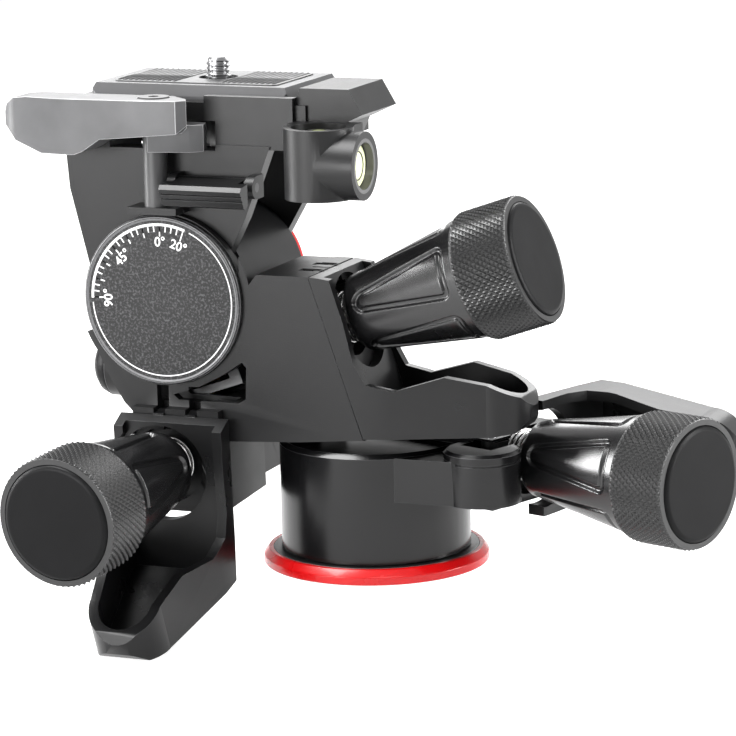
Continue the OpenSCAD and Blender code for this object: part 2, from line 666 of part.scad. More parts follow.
module roll_axle() {
  color([0.60, 0.60, 0.61]) at_roll() rod_y(roll_axle_r, -arm_y1, arm_y1);
}
module roll_wheel() {
  color([0.76, 0.60, 0.28]) roll_hub()
    toothed_disc(big_wheel_teeth, wheel_face, roll_axle_r, knob_rise - 90);
}
module rear_disc() {
  color([0.16, 0.16, 0.17]) at_roll() difference() {
    union() {
      rod_y(17, arm_y1, arm_y1 + 2.6);
      rod_y(15, arm_y1 + 2.5, arm_y1 + 3);
    }
    rod_y(2.2, arm_y1 + 1.8, arm_y1 + 4);
  }
}
module rear_red_ring() {
  color([0.75, 0.02, 0.03]) at_roll() difference() {
    rod_y(19, arm_y1, arm_y1 + 2);
    rod_y(17, arm_y1 - 1, arm_y1 + 3);
  }
}

// ---- plate lock: lever on a vertical post, and the safety catch on its pin ----
post_x = -49;
post_y = -26.2;
post_r = 3.2;
lever_back_y = -arm_y1 - 0.4;
lock_top_z = seat_z + 1.8;
nose_z0 = seat_z - 11.9;
nose_z1 = seat_z - 4.8;
nose_reach = 15.2;
module lock_plan() {
  // top view of the locking lever: hub, paddle and nose
  difference() {
    translate([post_x, post_y]) circle(r = 5.8);
    translate([post_x - 10, lever_back_y]) square(20);
  }
  polygon([[post_x + 4, lever_back_y], [-88.6, lever_back_y], [-91.8, -25.4], [-91, -29], [-86.6, -32.2],
    [-72, -34.4], [-60, -34], [post_x, -33.5]]);
  polygon([[post_x, lever_back_y], [-45, lever_back_y], [-42, -25], [-39.5, -27], [-38, -30], [-40, -32.5],
    [post_x, -33.5]]);
}
module nose_plan() {
  // the cam nose under the lever's right end, which turns into the seat
  polygon([[post_x, lever_back_y], [post_x, -31], [-38, -28.6], [-35, -26.4], [-36, lever_back_y]]);
}
module plate_lever() {
  color([0.15, 0.15, 0.155]) difference() {
    union() {
      intersection() {
        translate([0, 0, 100]) linear_extrude(40) lock_plan();
        translate([0, 0, seat_z]) slab_y([[-92, -5.4], [-90.2, -0.6], [-87, 1.4], [-83, lock_top_z - seat_z],
          [-38, lock_top_z - seat_z], [-36, -2.8], [-40, nose_z1 - 2 - seat_z], [-61.2, -8.6],
          [-66, -11.8], [-68.6, -12.8], [-78.6, -12.8], [-86.6, -9.8]], -60, 0);
      }
      translate([0, 0, nose_z0]) linear_extrude(nose_z1 - nose_z0) nose_plan();
    }
    translate([post_x, post_y, 90]) cylinder(r = post_r + 0.05, h = 60);
    translate([post_x, post_y, lock_top_z - 1.5]) cylinder(r = 4.3, h = 3);
  }
}
module plate_lever_post() {
  color([0.20, 0.20, 0.21]) difference() {
    translate([post_x, post_y, ledge_z0 + 1]) cylinder(r = post_r, h = lock_top_z - 1.5 - ledge_z0 - 1);
    translate([post_x, post_y, lock_top_z - 7.5]) cylinder(r = 1.5, h = 8);
  }
}
module plate_lever_screw() {
  color([0.45, 0.12, 0.10]) difference() {
    union() {
      translate([post_x, post_y, lock_top_z - 1.5]) cylinder(r = 4, h = 1.8);
      translate([post_x, post_y, lock_top_z - 7.5]) cylinder(r = 1.5, h = 6.2);
    }
    translate([post_x, post_y, lock_top_z - 0.7]) cylinder(r = 1.5, h = 2, $fn = 6);
  }
}
catch_y = -25.2;
catch_z = seat_z - 20.8;
catch_x0 = -42.6;
catch_x1 = -23.4;
catch_pin_r = 1.25;
ledge_z0 = 95.4;
catch_bar_r = 2.3;
catch_lip_x0 = -43.8;
catch_lip_x1 = -20.8;
catch_lip = [[-6, 1.7], [-9.9, 1.3], [-10.8, 0.2], [-10.26, -0.87], [-9.84, -0.94], [-10.04, -1.32],
  [-9.59, -2.21], [-9.17, -2.28], [-9.37, -2.66], [-8.6, -4.2], [-7.6, -4.6], [-6, -3.7]];
module catch_slab(outline, x0, x1) {
  translate([x0, catch_y, catch_z]) rotate([90, 0, 90]) linear_extrude(x1 - x0) polygon(outline);
}
module safety_catch() {
  color([0.16, 0.16, 0.165]) difference() {
    union() {
      translate([0, catch_y, catch_z]) rod_x(catch_bar_r, catch_x0, catch_x1);
      // paddle that hangs forward and down, with a grooved finger lip
      catch_slab([[0, 2.1], [-7, 1.5], [-7, -3.5], [0, -1.7]], catch_x0 + 0.4, catch_x1 - 0.4);
      catch_slab(catch_lip, catch_lip_x0, catch_lip_x1);
    }
    translate([0, catch_y, catch_z]) rod_x(catch_pin_r + 0.05, catch_x0 - 1, catch_x1 + 1);
  }
}
module catch_pin() {
  color([0.62, 0.62, 0.63]) translate([0, catch_y, catch_z])
    rod_x(catch_pin_r, catch_x0 - 2.6, catch_x1 + 2.6);
}

// ---- spirit levels ----
vial_x = -1.8;
vial_y = -28.4;
vial_r = 7.2;
barrel_z = seat_z - 13.6;
vial_z0 = seat_z - 7.6;
barrel_bore_r = 7;
barrel_x0 = 5.8;
barrel_x1 = 10.7;
module round_vial() {
  color([0.80, 0.84, 0.42]) translate([vial_x, vial_y, 0]) {
    translate([0, 0, vial_z0]) cylinder(r = vial_r, h = 3.2);
    translate([0, 0, vial_z0 + 3.2]) cylinder(r1 = vial_r - 1, r2 = vial_r - 3, h = 0.8);
  }
}
module tube_vial() {
  color([0.80, 0.84, 0.42]) translate([0, vial_y, barrel_z]) {
    rod_x(barrel_bore_r, barrel_x0, 8.6);
    rod_x(barrel_bore_r - 1, 8.6, 10.4);
  }
}
module tube_vial_ring() {
  color([0.60, 0.60, 0.60]) translate([0, vial_y, barrel_z]) difference() {
    rod_x(barrel_bore_r, 8.6, barrel_x1);
    rod_x(barrel_bore_r - 1, 6, barrel_x1 + 1);
  }
}

// ---- camera plate ----
screw_x = -42.5;
plate_z = seat_z - 0.6;
module round_box(x0, x1, half_y, r, z0, z1) {
  for (dx = [r, 0]) box([x0 + dx, -half_y + r - dx, z0], [x1 - dx, half_y - r + dx, z1]);
  for (x = [x0 + r, x1 - r]) for (y = [-half_y + r, half_y - r])
    translate([x, y, z0]) cylinder(r = r, h = z1 - z0);
}
module camera_plate() {
  x1 = plate_x0 + plate_len;
  half = plate_depth/2;
  color([0.22, 0.22, 0.23]) difference() {
    intersection() {
      round_box(plate_x0, x1, half, 2.5, plate_z, plate_z + plate_t);
      rotate([90, 0, 90]) translate([0, 0, plate_x0]) linear_extrude(plate_len)
        polygon([[-half, plate_z], [half, plate_z], [half, plate_z + 1.6], [half - 1.4, plate_z + plate_t],
          [1.4 - half, plate_z + plate_t], [-half, plate_z + 1.6]]);
      slab_y([[plate_x0 + 1, plate_z], [x1 - 1, plate_z], [x1, plate_z + 1.6], [x1 - 1.4, plate_z + plate_t],
        [plate_x0 + 1.4, plate_z + plate_t], [plate_x0, plate_z + 1.6]], -half, half);
    }
    round_box(plate_x0 + 5, x1 - 5, half - 4, 2, plate_z + plate_t - 0.9, plate_z + plate_t + 1);
    translate([screw_x, 0, plate_z - 1]) cylinder(r = camera_thread_d/2 + 0.3, h = 10);
    translate([screw_x, 0, plate_z - 1]) cylinder(r = 9, h = 2.6);
  }
}
module plate_pad() {
  color([0.07, 0.07, 0.07]) difference() {
    round_box(plate_x0 + 5, plate_x0 + plate_len - 5, plate_depth/2 - 4, 2, plate_z + plate_t - 0.9,
      plate_z + plate_t + 0.3);
    translate([screw_x, 0, plate_z]) cylinder(r = 5.2, h = 10);
  }
}
module camera_screw() {
  color([0.68, 0.66, 0.60]) translate([screw_x, 0, 0]) difference() {
    union() {
      translate([0, 0, plate_z - 2.4]) cylinder(r = 8.5, h = 3.7);
      translate([0, 0, plate_z + 1.2]) cylinder(r = camera_thread_d/2 + 0.25, h = plate_t - 1.2);
      translate([0, 0, plate_z + plate_t]) cylinder(r = camera_thread_d/2, h = camera_thread_h - 0.7);
      translate([0, 0, plate_z + plate_t + camera_thread_h - 0.7])
        cylinder(r1 = camera_thread_d/2, r2 = camera_thread_d/2 - 0.7, h = 0.7);
    }
    box([-9, -0.8, plate_z - 3], [9, 0.8, plate_z - 1.2]);
  }
}

// ---- the three drives, each placed on its own axis ----
module pan_line() {
  pan_hub() line_frame(big_offset) children();
}
module tilt_line() {
  tilt_hub() line_frame(small_offset, tilt_skew) children();
}
module roll_line() {
  roll_hub() line_frame(big_offset) children();
}
base_plate();
base_ring();
base_insert();
pan_spindle();
pan_wheel();
pan_nut();
pan_bushing();
pan_housing();
tilt_axle();
tilt_wheel();
pan_line() carrier();  // pan_carrier
pan_line() bushes();  // pan_bushes
pan_line() worm_and_shaft(pan_reach);  // pan_worm
pan_line() knob_body(pan_reach);  // pan_knob
pan_line() knob_grip(pan_reach);  // pan_grip
pan_line() knob_cap(pan_reach);  // pan_knob_cap
pan_hub() lever(pan_reach, big_offset, 1);  // pan_lever
pan_hub() lever_pin(pan_reach, big_offset);  // pan_lever_pin
pan_line() shaft_spring(pan_reach);  // pan_spring
tilt_body();
tilt_end_cap();
tilt_red_ring();
roll_dial();
tilt_line() carrier();  // tilt_carrier
tilt_line() bushes();  // tilt_bushes
tilt_line() worm_and_shaft(tilt_reach);  // tilt_worm
tilt_line() knob_body(tilt_reach);  // tilt_knob
tilt_line() knob_grip(tilt_reach);  // tilt_grip
tilt_line() knob_cap(tilt_reach);  // tilt_knob_cap
tilt_hub() lever(tilt_reach, small_offset, hood_v, tilt_skew);  // tilt_lever
tilt_hub() lever_pin(tilt_reach, small_offset);  // tilt_lever_pin
tilt_line() shaft_spring(tilt_reach);  // tilt_spring
roll_line() carrier();  // roll_carrier
roll_line() bushes();  // roll_bushes
roll_line() worm_and_shaft(roll_reach);  // roll_worm
roll_line() knob_body(roll_reach);  // roll_knob
roll_line() knob_grip(roll_reach);  // roll_grip
roll_line() knob_cap(roll_reach);  // roll_knob_cap
roll_hub() lever(roll_reach, big_offset, hood_v);  // roll_lever
roll_hub() lever_pin(roll_reach, big_offset);  // roll_lever_pin
roll_line() shaft_spring(roll_reach);  // roll_spring
bracket();
roll_axle();
roll_wheel();
rear_disc();
rear_red_ring();
plate_lever();
plate_lever_screw();
plate_lever_post();
safety_catch();
catch_pin();
round_vial();
tube_vial();
tube_vial_ring();
camera_plate();
plate_pad();
camera_screw();
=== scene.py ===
# %% [markdown]
# # A geared tripod head
# The solids of this head come from the CAD model, and every script cell below dresses them for a
# studio picture.

import json
import math

import bmesh
import bpy
from mathutils import Matrix, Vector

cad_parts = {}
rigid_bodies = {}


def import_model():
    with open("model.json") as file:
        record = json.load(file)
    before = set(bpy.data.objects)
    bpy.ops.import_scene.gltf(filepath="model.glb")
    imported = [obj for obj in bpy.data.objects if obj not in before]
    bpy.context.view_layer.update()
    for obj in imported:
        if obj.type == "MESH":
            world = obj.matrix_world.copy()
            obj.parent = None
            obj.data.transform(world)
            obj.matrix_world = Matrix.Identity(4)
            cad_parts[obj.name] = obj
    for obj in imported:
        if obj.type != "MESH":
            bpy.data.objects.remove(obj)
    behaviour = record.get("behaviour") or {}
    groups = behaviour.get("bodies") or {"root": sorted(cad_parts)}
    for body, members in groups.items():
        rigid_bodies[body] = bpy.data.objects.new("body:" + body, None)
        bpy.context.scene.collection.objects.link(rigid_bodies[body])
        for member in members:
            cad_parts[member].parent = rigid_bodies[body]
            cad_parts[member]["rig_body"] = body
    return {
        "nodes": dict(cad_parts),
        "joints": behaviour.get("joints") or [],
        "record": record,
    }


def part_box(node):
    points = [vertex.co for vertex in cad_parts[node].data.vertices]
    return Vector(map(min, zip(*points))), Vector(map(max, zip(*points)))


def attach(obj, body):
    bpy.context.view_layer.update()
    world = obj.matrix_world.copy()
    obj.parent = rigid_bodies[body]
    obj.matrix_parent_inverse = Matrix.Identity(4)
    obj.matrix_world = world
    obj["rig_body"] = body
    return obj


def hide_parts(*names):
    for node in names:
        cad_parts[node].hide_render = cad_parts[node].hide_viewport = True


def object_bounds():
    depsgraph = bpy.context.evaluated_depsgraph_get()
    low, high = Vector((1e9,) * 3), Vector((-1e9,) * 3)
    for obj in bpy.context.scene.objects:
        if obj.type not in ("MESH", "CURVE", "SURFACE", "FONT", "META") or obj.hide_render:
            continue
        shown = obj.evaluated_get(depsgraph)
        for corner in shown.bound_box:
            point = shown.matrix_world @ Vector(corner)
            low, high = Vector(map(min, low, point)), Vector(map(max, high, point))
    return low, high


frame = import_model()
cad_low, cad_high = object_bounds()
nodes = frame["nodes"]
joints = {joint["name"]: joint for joint in frame["joints"]}
MM = 0.001
print("the head's solids:", len(nodes), "height in mm:", round((cad_high.z - cad_low.z) / MM, 1))

# %% [markdown]
# ## The camera
# A long lens from the front right gives the flat perspective of a catalogue picture. The camera's
# place and directions were fitted to the base ring, the drum, the dial, the round level and the
# corners of the plate.

# %% Camera
CAMERA_AT = Vector((0.3685, -0.8843, 0.2470))
CAMERA_RIGHT = Vector((0.9239, 0.3820, -0.0205)).normalized()
CAMERA_BACK = Vector((0.3782, -0.9040, 0.1995)).normalized()
CAMERA_UP = CAMERA_BACK.cross(CAMERA_RIGHT).normalized()
LENS = 181.2
SENSOR = 36.0
CLIP_NEAR, CLIP_FAR = 0.05, 20.0
camera = bpy.data.objects.new("studio_camera", bpy.data.cameras.new("studio_camera"))
bpy.context.scene.collection.objects.link(camera)
camera.data.lens = LENS
camera.data.sensor_width = SENSOR
camera.data.clip_start = CLIP_NEAR
camera.data.clip_end = CLIP_FAR
camera.matrix_world = Matrix.Translation(CAMERA_AT) @ Matrix(
    (CAMERA_RIGHT, CAMERA_UP, CAMERA_BACK)).transposed().to_4x4()
bpy.context.scene.camera = camera
print("camera looks down by", round(math.degrees(math.asin(CAMERA_BACK.z)), 1), "degrees")


# %% [markdown]
# ## Small helpers for node trees
# Geometry trees and shader trees are both made of nodes, sockets and links. One helper adds a node,
# sets its fields and fills its inputs, so that each tree below reads like a recipe.

# %% Node helper
def add_node(tree, kind, inputs=None, **fields):
    node = tree.nodes.new(kind)
    for field, value in fields.items():
        setattr(node, field, value)
    for key, value in (inputs or {}).items():
        if isinstance(value, bpy.types.NodeSocket):
            tree.links.new(value, node.inputs[key])
        else:
            node.inputs[key].default_value = value
    return node


def do_math(tree, operation, first, second=0.0, third=0.0):
    node = add_node(tree, "ShaderNodeMath", {0: first, 1: second, 2: third}, operation=operation)
    return node.outputs[0]


# %% [markdown]
# ## Shared surface effects
# Powder coat, turned metal and moulded plastic all show a fine relief and a slow change of tone.
# Each effect is one shader group that puts out masks only. The materials decide what to do with
# them.

# %% Fine grain group
def new_shader_group(name, inputs, outputs):
    group = bpy.data.node_groups.new(name, "ShaderNodeTree")
    for label, value in inputs:
        socket = group.interface.new_socket(label, in_out="INPUT", socket_type="NodeSocketFloat")
        socket.default_value = value
    for label in outputs:
        group.interface.new_socket(label, in_out="OUTPUT", socket_type="NodeSocketFloat")
    return group, group.nodes.new("NodeGroupInput"), group.nodes.new("NodeGroupOutput")


def grain_group():
    group, inside, outside = new_shader_group(
        "fine_grain", [("Grains per metre", 2500.0), ("Patches per metre", 60.0)],
        ["Relief", "Patches"])
    place = add_node(group, "ShaderNodeTexCoord").outputs["Object"]
    fine = add_node(group, "ShaderNodeTexNoise",
                    {"Vector": place, "Scale": inside.outputs[0], "Detail": 2.0, "Roughness": 0.6})
    slow = add_node(group, "ShaderNodeTexNoise",
                    {"Vector": place, "Scale": inside.outputs[1], "Detail": 4.0, "Roughness": 0.55})
    group.links.new(fine.outputs[0], outside.inputs["Relief"])
    group.links.new(slow.outputs[0], outside.inputs["Patches"])
    return group


# %% Turning marks group
# The noise is stretched in x and y, so its marks lie level, as on a turned piece that stands up.
TURNING_STRETCH = (0.06, 0.06, 1.0)


def turning_group():
    group, inside, outside = new_shader_group(
        "turning_marks", [("Marks per metre", 4000.0)], ["Relief"])
    place = add_node(group, "ShaderNodeTexCoord").outputs["Object"]
    stretched = add_node(group, "ShaderNodeMapping", {"Vector": place, "Scale": TURNING_STRETCH})
    marks = add_node(group, "ShaderNodeTexNoise", {"Vector": stretched.outputs[0],
                     "Scale": inside.outputs[0], "Detail": 3.0, "Roughness": 0.7})
    group.links.new(marks.outputs[0], outside.inputs["Relief"])
    return group


# %% Speckle group
SPECK_CONTRAST = 7.0


def speckle_group():
    group, inside, outside = new_shader_group(
        "speckle", [("Specks per metre", 1500.0), ("Least size", 0.50)], ["Specks"])
    place = add_node(group, "ShaderNodeTexCoord").outputs["Object"]
    noise = add_node(group, "ShaderNodeTexNoise", {"Vector": place, "Scale": inside.outputs[0],
                     "Detail": 3.0, "Roughness": 0.65})
    above = do_math(group, "SUBTRACT", noise.outputs[0], inside.outputs[1])
    sharp = do_math(group, "MULTIPLY", above, SPECK_CONTRAST)
    clipped = add_node(group, "ShaderNodeClamp", {"Value": sharp})
    group.links.new(clipped.outputs[0], outside.inputs["Specks"])
    return group


GRAIN = grain_group()
TURNING = turning_group()
SPECKLE = speckle_group()
print("shader groups:", [group.name for group in (GRAIN, TURNING, SPECKLE)])


# %% [markdown]
# ## Finishes
# Every finish starts from the same layout: a base colour that drifts a little, a roughness that
# drifts with it, and a bump from the fine relief. The numbers make it powder coat, steel or rubber.

# %% Finish maker
# A Mix node lists its colour sockets after those for numbers and vectors.
MIX_FACTOR, MIX_A, MIX_B, MIX_RESULT = 0, 6, 7, 2
NOISE_LOW, NOISE_HIGH = 0.3, 0.7
ROUGH_DRIFT = 0.12
BUMP_DISTANCE = 0.0001


def stretch_noise(tree, noise, at_low, at_high):
    """Noise stays near its middle, so the middle is stretched over the wanted values."""
    return add_node(tree, "ShaderNodeMapRange", {
        0: noise, 1: NOISE_LOW, 2: NOISE_HIGH, 3: at_low, 4: at_high}).outputs[0]


def make_finish(name, colour, roughness, grains=2500.0, bump=0.15, drift=0.18, patches=60.0,
                group=None, **shader):
    material = bpy.data.materials.new(name)
    material.use_nodes = True
    tree = material.node_tree
    surface = tree.nodes["Principled BSDF"]
    for socket, value in shader.items():
        surface.inputs[socket.replace("_", " ")].default_value = value
    grain = add_node(tree, "ShaderNodeGroup", {0: grains, 1: patches}, node_tree=GRAIN)
    tones = stretch_noise(tree, grain.outputs["Patches"], 1.0 - drift, 1.0 + drift)
    tinted = add_node(tree, "ShaderNodeMix", {
        MIX_FACTOR: 1.0, MIX_A: (*colour, 1.0), MIX_B: tones}, data_type="RGBA",
        blend_type="MULTIPLY")
    tree.links.new(tinted.outputs[MIX_RESULT], surface.inputs["Base Color"])
    rough = stretch_noise(tree, grain.outputs["Patches"], roughness * (1.0 + ROUGH_DRIFT),
                          roughness * (1.0 - ROUGH_DRIFT))
    tree.links.new(rough, surface.inputs["Roughness"])
    relief = grain.outputs["Relief"]
    if group is not None:
        marks = add_node(tree, "ShaderNodeGroup", {0: grains}, node_tree=group)
        relief = marks.outputs[0]
    height = add_node(tree, "ShaderNodeBump", {"Height": relief, "Strength": bump,
                      "Distance": BUMP_DISTANCE})
    tree.links.new(height.outputs[0], surface.inputs["Normal"])
    return material


# %% Castings and plastics
CAST = make_finish("cast_powder_black", (0.005, 0.005, 0.0053), 0.37, grains=3200.0, bump=0.30,
                   Specular_IOR_Level=0.26)
# Painted highlight: the edge finish is much lighter than the face, so the bevels read as bright
# lines.
CAST_EDGE_HIGHLIGHT = make_finish("cast_edge_painted_highlight", (0.060, 0.060, 0.062), 0.32, grains=3200.0, bump=0.15,
                        Specular_IOR_Level=0.5)
BRACKET = make_finish("bracket_satin_black", (0.007, 0.007, 0.0073), 0.36, grains=3400.0, bump=0.22,
                      Specular_IOR_Level=0.24)
LEVER = make_finish("lever_satin_black", (0.004, 0.004, 0.0043), 0.30, grains=2600.0, bump=0.14,
                    Specular_IOR_Level=0.28)
# Painted highlight along the levers' bevelled edges, far lighter than the lever's face.
LEVER_EDGE_HIGHLIGHT = make_finish("lever_edge_painted_highlight", (0.10, 0.10, 0.104), 0.30, grains=2600.0, bump=0.10,
                         Specular_IOR_Level=0.6)
KNOB = make_finish("knob_moulded_black", (0.004, 0.004, 0.0043), 0.25, grains=1800.0, bump=0.05,
                   Specular_IOR_Level=0.60)
CAP = make_finish("knob_cap_grey", (0.004, 0.004, 0.0043), 0.40, grains=2400.0, bump=0.12,
                  Specular_IOR_Level=0.08)
GRIP = make_finish("knurled_rubber", (0.006, 0.006, 0.0063), 0.32, grains=2200.0, bump=0.06,
                   Specular_IOR_Level=0.50)
DRUM = make_finish("drum_smooth_black", (0.003, 0.003, 0.0033), 0.24, grains=1600.0, bump=0.05,
                   Specular_IOR_Level=0.34)
PAD = make_finish("pad_rubber", (0.040, 0.040, 0.041), 0.42, grains=1500.0, bump=0.20,
                  Specular_IOR_Level=0.45)
PLATE = make_finish("plate_anodised", (0.050, 0.050, 0.052), 0.38, grains=3000.0, bump=0.14,
                    Specular_IOR_Level=0.35)
# Painted highlight along the plate's bevelled edges, lighter than its face.
PLATE_EDGE_HIGHLIGHT = make_finish("plate_edge_painted_highlight", (0.20, 0.20, 0.205), 0.30, grains=3000.0, bump=0.08,
                         Metallic=0.4)
LOCK = make_finish("lock_lever_satin", (0.060, 0.060, 0.062), 0.38, grains=2400.0, bump=0.12,
                   Specular_IOR_Level=0.30)
# Painted highlight along the lock lever's bevelled edges, lighter than its face.
LOCK_EDGE_HIGHLIGHT = make_finish("lock_lever_edge_painted_highlight", (0.30, 0.30, 0.305), 0.30, grains=2400.0, bump=0.06,
                        Metallic=0.3)
POST = make_finish("post_dark_grey", (0.035, 0.035, 0.036), 0.34, grains=2400.0, bump=0.08,
                   Specular_IOR_Level=0.4)
RED = make_finish("glossy_red", (0.42, 0.002, 0.003), 0.26, grains=900.0, bump=0.03, drift=0.05,
                  Specular_IOR_Level=0.3, Coat_Weight=0.12, Coat_Roughness=0.10)
BEARING = make_finish("bearing_plastic", (0.62, 0.60, 0.50), 0.45, grains=1500.0, bump=0.10,
                      drift=0.06)

# %% Metals
STEEL = make_finish("turned_steel", (0.56, 0.56, 0.57), 0.24, grains=4200.0, bump=0.16, drift=0.06,
                    group=TURNING, Metallic=1.0)
SCREW_STEEL = make_finish("dark_screw_steel", (0.22, 0.22, 0.225), 0.28, grains=4200.0, bump=0.10,
                          drift=0.08, group=TURNING, Metallic=1.0)
BRASS = make_finish("machined_brass", (0.72, 0.52, 0.20), 0.27, grains=4200.0, bump=0.14,
                    drift=0.08, group=TURNING, Metallic=1.0)
WORM = make_finish("greased_worm_steel", (0.46, 0.45, 0.43), 0.22, grains=4200.0, bump=0.12,
                   drift=0.12, group=TURNING, Metallic=1.0, Coat_Weight=0.4)
ZINC = make_finish("die_cast_zinc", (0.13, 0.13, 0.132), 0.46, grains=2200.0, bump=0.22, drift=0.10,
                   Metallic=0.9)
WIRE = make_finish("spring_wire", (0.60, 0.60, 0.60), 0.22, grains=5200.0, bump=0.10, drift=0.06,
                   Metallic=1.0)
RIM = make_finish("dark_vial_ring", (0.10, 0.10, 0.10), 0.30, grains=2500.0, bump=0.04, drift=0.08,
                  Metallic=0.6)
WHITE_INK = make_finish("printed_white", (0.62, 0.62, 0.62), 0.55, grains=5000.0, bump=0.08,
                        drift=0.05, patches=900.0)
BLACK_INK = make_finish("printed_black", (0.01, 0.01, 0.01), 0.4, grains=5000.0, bump=0.05)


# %% Dial and vial
SPECK_COLOUR = (0.055, 0.055, 0.057, 1.0)


def dial_finish():
    material = make_finish("dial_speckled_black", (0.008, 0.008, 0.0083), 0.42, grains=2600.0,
                           bump=0.30, Specular_IOR_Level=0.22)
    tree = material.node_tree
    surface = tree.nodes["Principled BSDF"]
    specks = add_node(tree, "ShaderNodeGroup", node_tree=SPECKLE)
    base = surface.inputs["Base Color"].links[0].from_socket
    speckled = add_node(tree, "ShaderNodeMix", {
        MIX_FACTOR: specks.outputs["Specks"], MIX_A: base, MIX_B: SPECK_COLOUR}, data_type="RGBA")
    tree.links.new(speckled.outputs[MIX_RESULT], surface.inputs["Base Color"])
    return material


DIAL = dial_finish()
VIAL = make_finish("vial_fluid", (0.80, 0.84, 0.52), 0.12, grains=300.0, bump=0.01, drift=0.04,
                   Coat_Weight=0.4)
# Painted shade: the round level's fluid and bubble are painted far darker than the tube level's
# fluid, for the shade under the tower's rim.
VIAL_PAINTED_SHADE = make_finish("vial_fluid_painted_shade", (0.055, 0.060, 0.028), 0.16, grains=300.0, bump=0.01,
                         drift=0.10, Specular_IOR_Level=0.4)
BUBBLE_PAINTED_SHADE = make_finish("vial_bubble", (0.20, 0.22, 0.11), 0.08, grains=300.0, bump=0.01, drift=0.05,
                     Specular_IOR_Level=0.4)
print("finishes:", len(bpy.data.materials))


# %% [markdown]
# ## Edges that catch the light
# No cast or moulded edge is truly sharp, and the thin bright lines along the edges come from the
# small radii. A copy of each large solid is cleaned of its loose triangles and bevelled. The bevel
# gets a lighter finish of its own, a painted highlight that makes those bright lines stronger.

# %% Softened copies
SAME_PLACE = 2e-6
SAME_PLANE = math.radians(0.5)
SOFT_SHARP = math.radians(40.0)
BEVEL_ANGLE = math.radians(34.0)
BEVEL_STEPS = 2


def clean_copy(node):
    mesh = nodes[node].data.copy()
    mesh.name = node + "_soft"
    mesh.materials.clear()
    work = bmesh.new()
    work.from_mesh(mesh)
    bmesh.ops.remove_doubles(work, verts=work.verts, dist=SAME_PLACE)
    bmesh.ops.dissolve_limit(work, angle_limit=SAME_PLANE, verts=work.verts, edges=work.edges)
    for face in work.faces:
        face.smooth = True
        face.material_index = 0
    work.to_mesh(mesh)
    work.free()
    return mesh


def soften(node, finish, edge_highlight_finish, width):
    mesh = clean_copy(node)
    mesh.materials.append(finish)
    mesh.materials.append(edge_highlight_finish)
    mesh.set_sharp_from_angle(angle=SOFT_SHARP)
    piece = bpy.data.objects.new(node + "_soft", mesh)
    bpy.context.scene.collection.objects.link(piece)
    bevel = piece.modifiers.new("soft_edges", "BEVEL")
    bevel.width = width * MM
    bevel.segments = BEVEL_STEPS
    bevel.limit_method = "ANGLE"
    bevel.angle_limit = BEVEL_ANGLE
    # The bevel takes slot 1, the lighter finish that paints a highlight along each edge.
    bevel.material = 1
    bevel.use_clamp_overlap = True
    normals = piece.modifiers.new("flat_faces", "WEIGHTED_NORMAL")
    normals.keep_sharp = False
    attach(piece, nodes[node]["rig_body"])
    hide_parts(node)
    return piece


SLOTS = {row["node"]: row["material_slot"] for row in frame["record"]["subparts"]}
# node, finish, lighter finish of its edges that paints their highlight, width of the bevel in
# millimetres
SOFTENED = [
    ("base_plate", CAST, CAST_EDGE_HIGHLIGHT, 0.5), ("base_ring", RED, RED, 0.4),
    ("pan_housing", DRUM, CAST_EDGE_HIGHLIGHT, 0.35), ("tilt_body", CAST, CAST_EDGE_HIGHLIGHT, 0.35),
    ("bracket", BRACKET, CAST_EDGE_HIGHLIGHT, 0.35), ("tilt_end_cap", CAP, LEVER_EDGE_HIGHLIGHT, 0.2),
    ("rear_disc", LEVER, LEVER_EDGE_HIGHLIGHT, 0.3), ("roll_dial", DIAL, LEVER_EDGE_HIGHLIGHT, 0.15),
    ("pan_lever", LEVER, LEVER_EDGE_HIGHLIGHT, 0.45), ("tilt_lever", LEVER, LEVER_EDGE_HIGHLIGHT, 0.45),
    ("roll_lever", LEVER, LEVER_EDGE_HIGHLIGHT, 0.45), ("pan_knob_cap", CAP, CAP, 0.6),
    ("tilt_knob_cap", CAP, CAP, 0.6), ("roll_knob_cap", CAP, CAP, 0.6),
    ("plate_lever", LOCK, LOCK_EDGE_HIGHLIGHT, 0.45),
    ("safety_catch", LEVER, LOCK_EDGE_HIGHLIGHT, 0.3), ("camera_plate", PLATE, PLATE_EDGE_HIGHLIGHT, 0.3)]
for node, finish, edge_highlight_finish, width in SOFTENED:
    soften(node, finish, edge_highlight_finish, width)
print("softened solids:", len(SOFTENED))

# %% [markdown]
# ## Solids that keep their shape
# The gears, worms, shafts and pins are right as the CAD made them, so they only get a finish. A
# smooth angle hides the facets of their round faces and keeps the teeth crisp.

# %% Plain finishes
NODE_SHARP = math.radians(32.0)
KEPT = {
    "red_trim": RED, "steel": STEEL, "brass": BRASS, "bearing_plastic": BEARING,
    "carrier_zinc": ZINC, "worm_steel": WORM, "vial": VIAL, "vial_ring": RIM,
    "screw_red": POST, "spring": WIRE, "grip": GRIP, "pad": PAD, "knob": KNOB,
    "lever": LEVER, "body": CAST, "dial": DIAL, "plate": PLATE}
SPECIAL = {"plate_lever_post": POST, "catch_pin": POST}
for name, node in nodes.items():
    node.data.materials.clear()
    node.data.materials.append(SPECIAL.get(name, KEPT[SLOTS[name]]))
    node.data.set_sharp_from_angle(angle=NODE_SHARP)


# %% [markdown]
# ## From a geometry tree to a plain mesh
# Knurls, ticks, coils and ribs repeat by a rule, so Geometry Nodes make them. The tree's inputs are
# set by identifier, the result is read back as one mesh, and that mesh is set in its place.

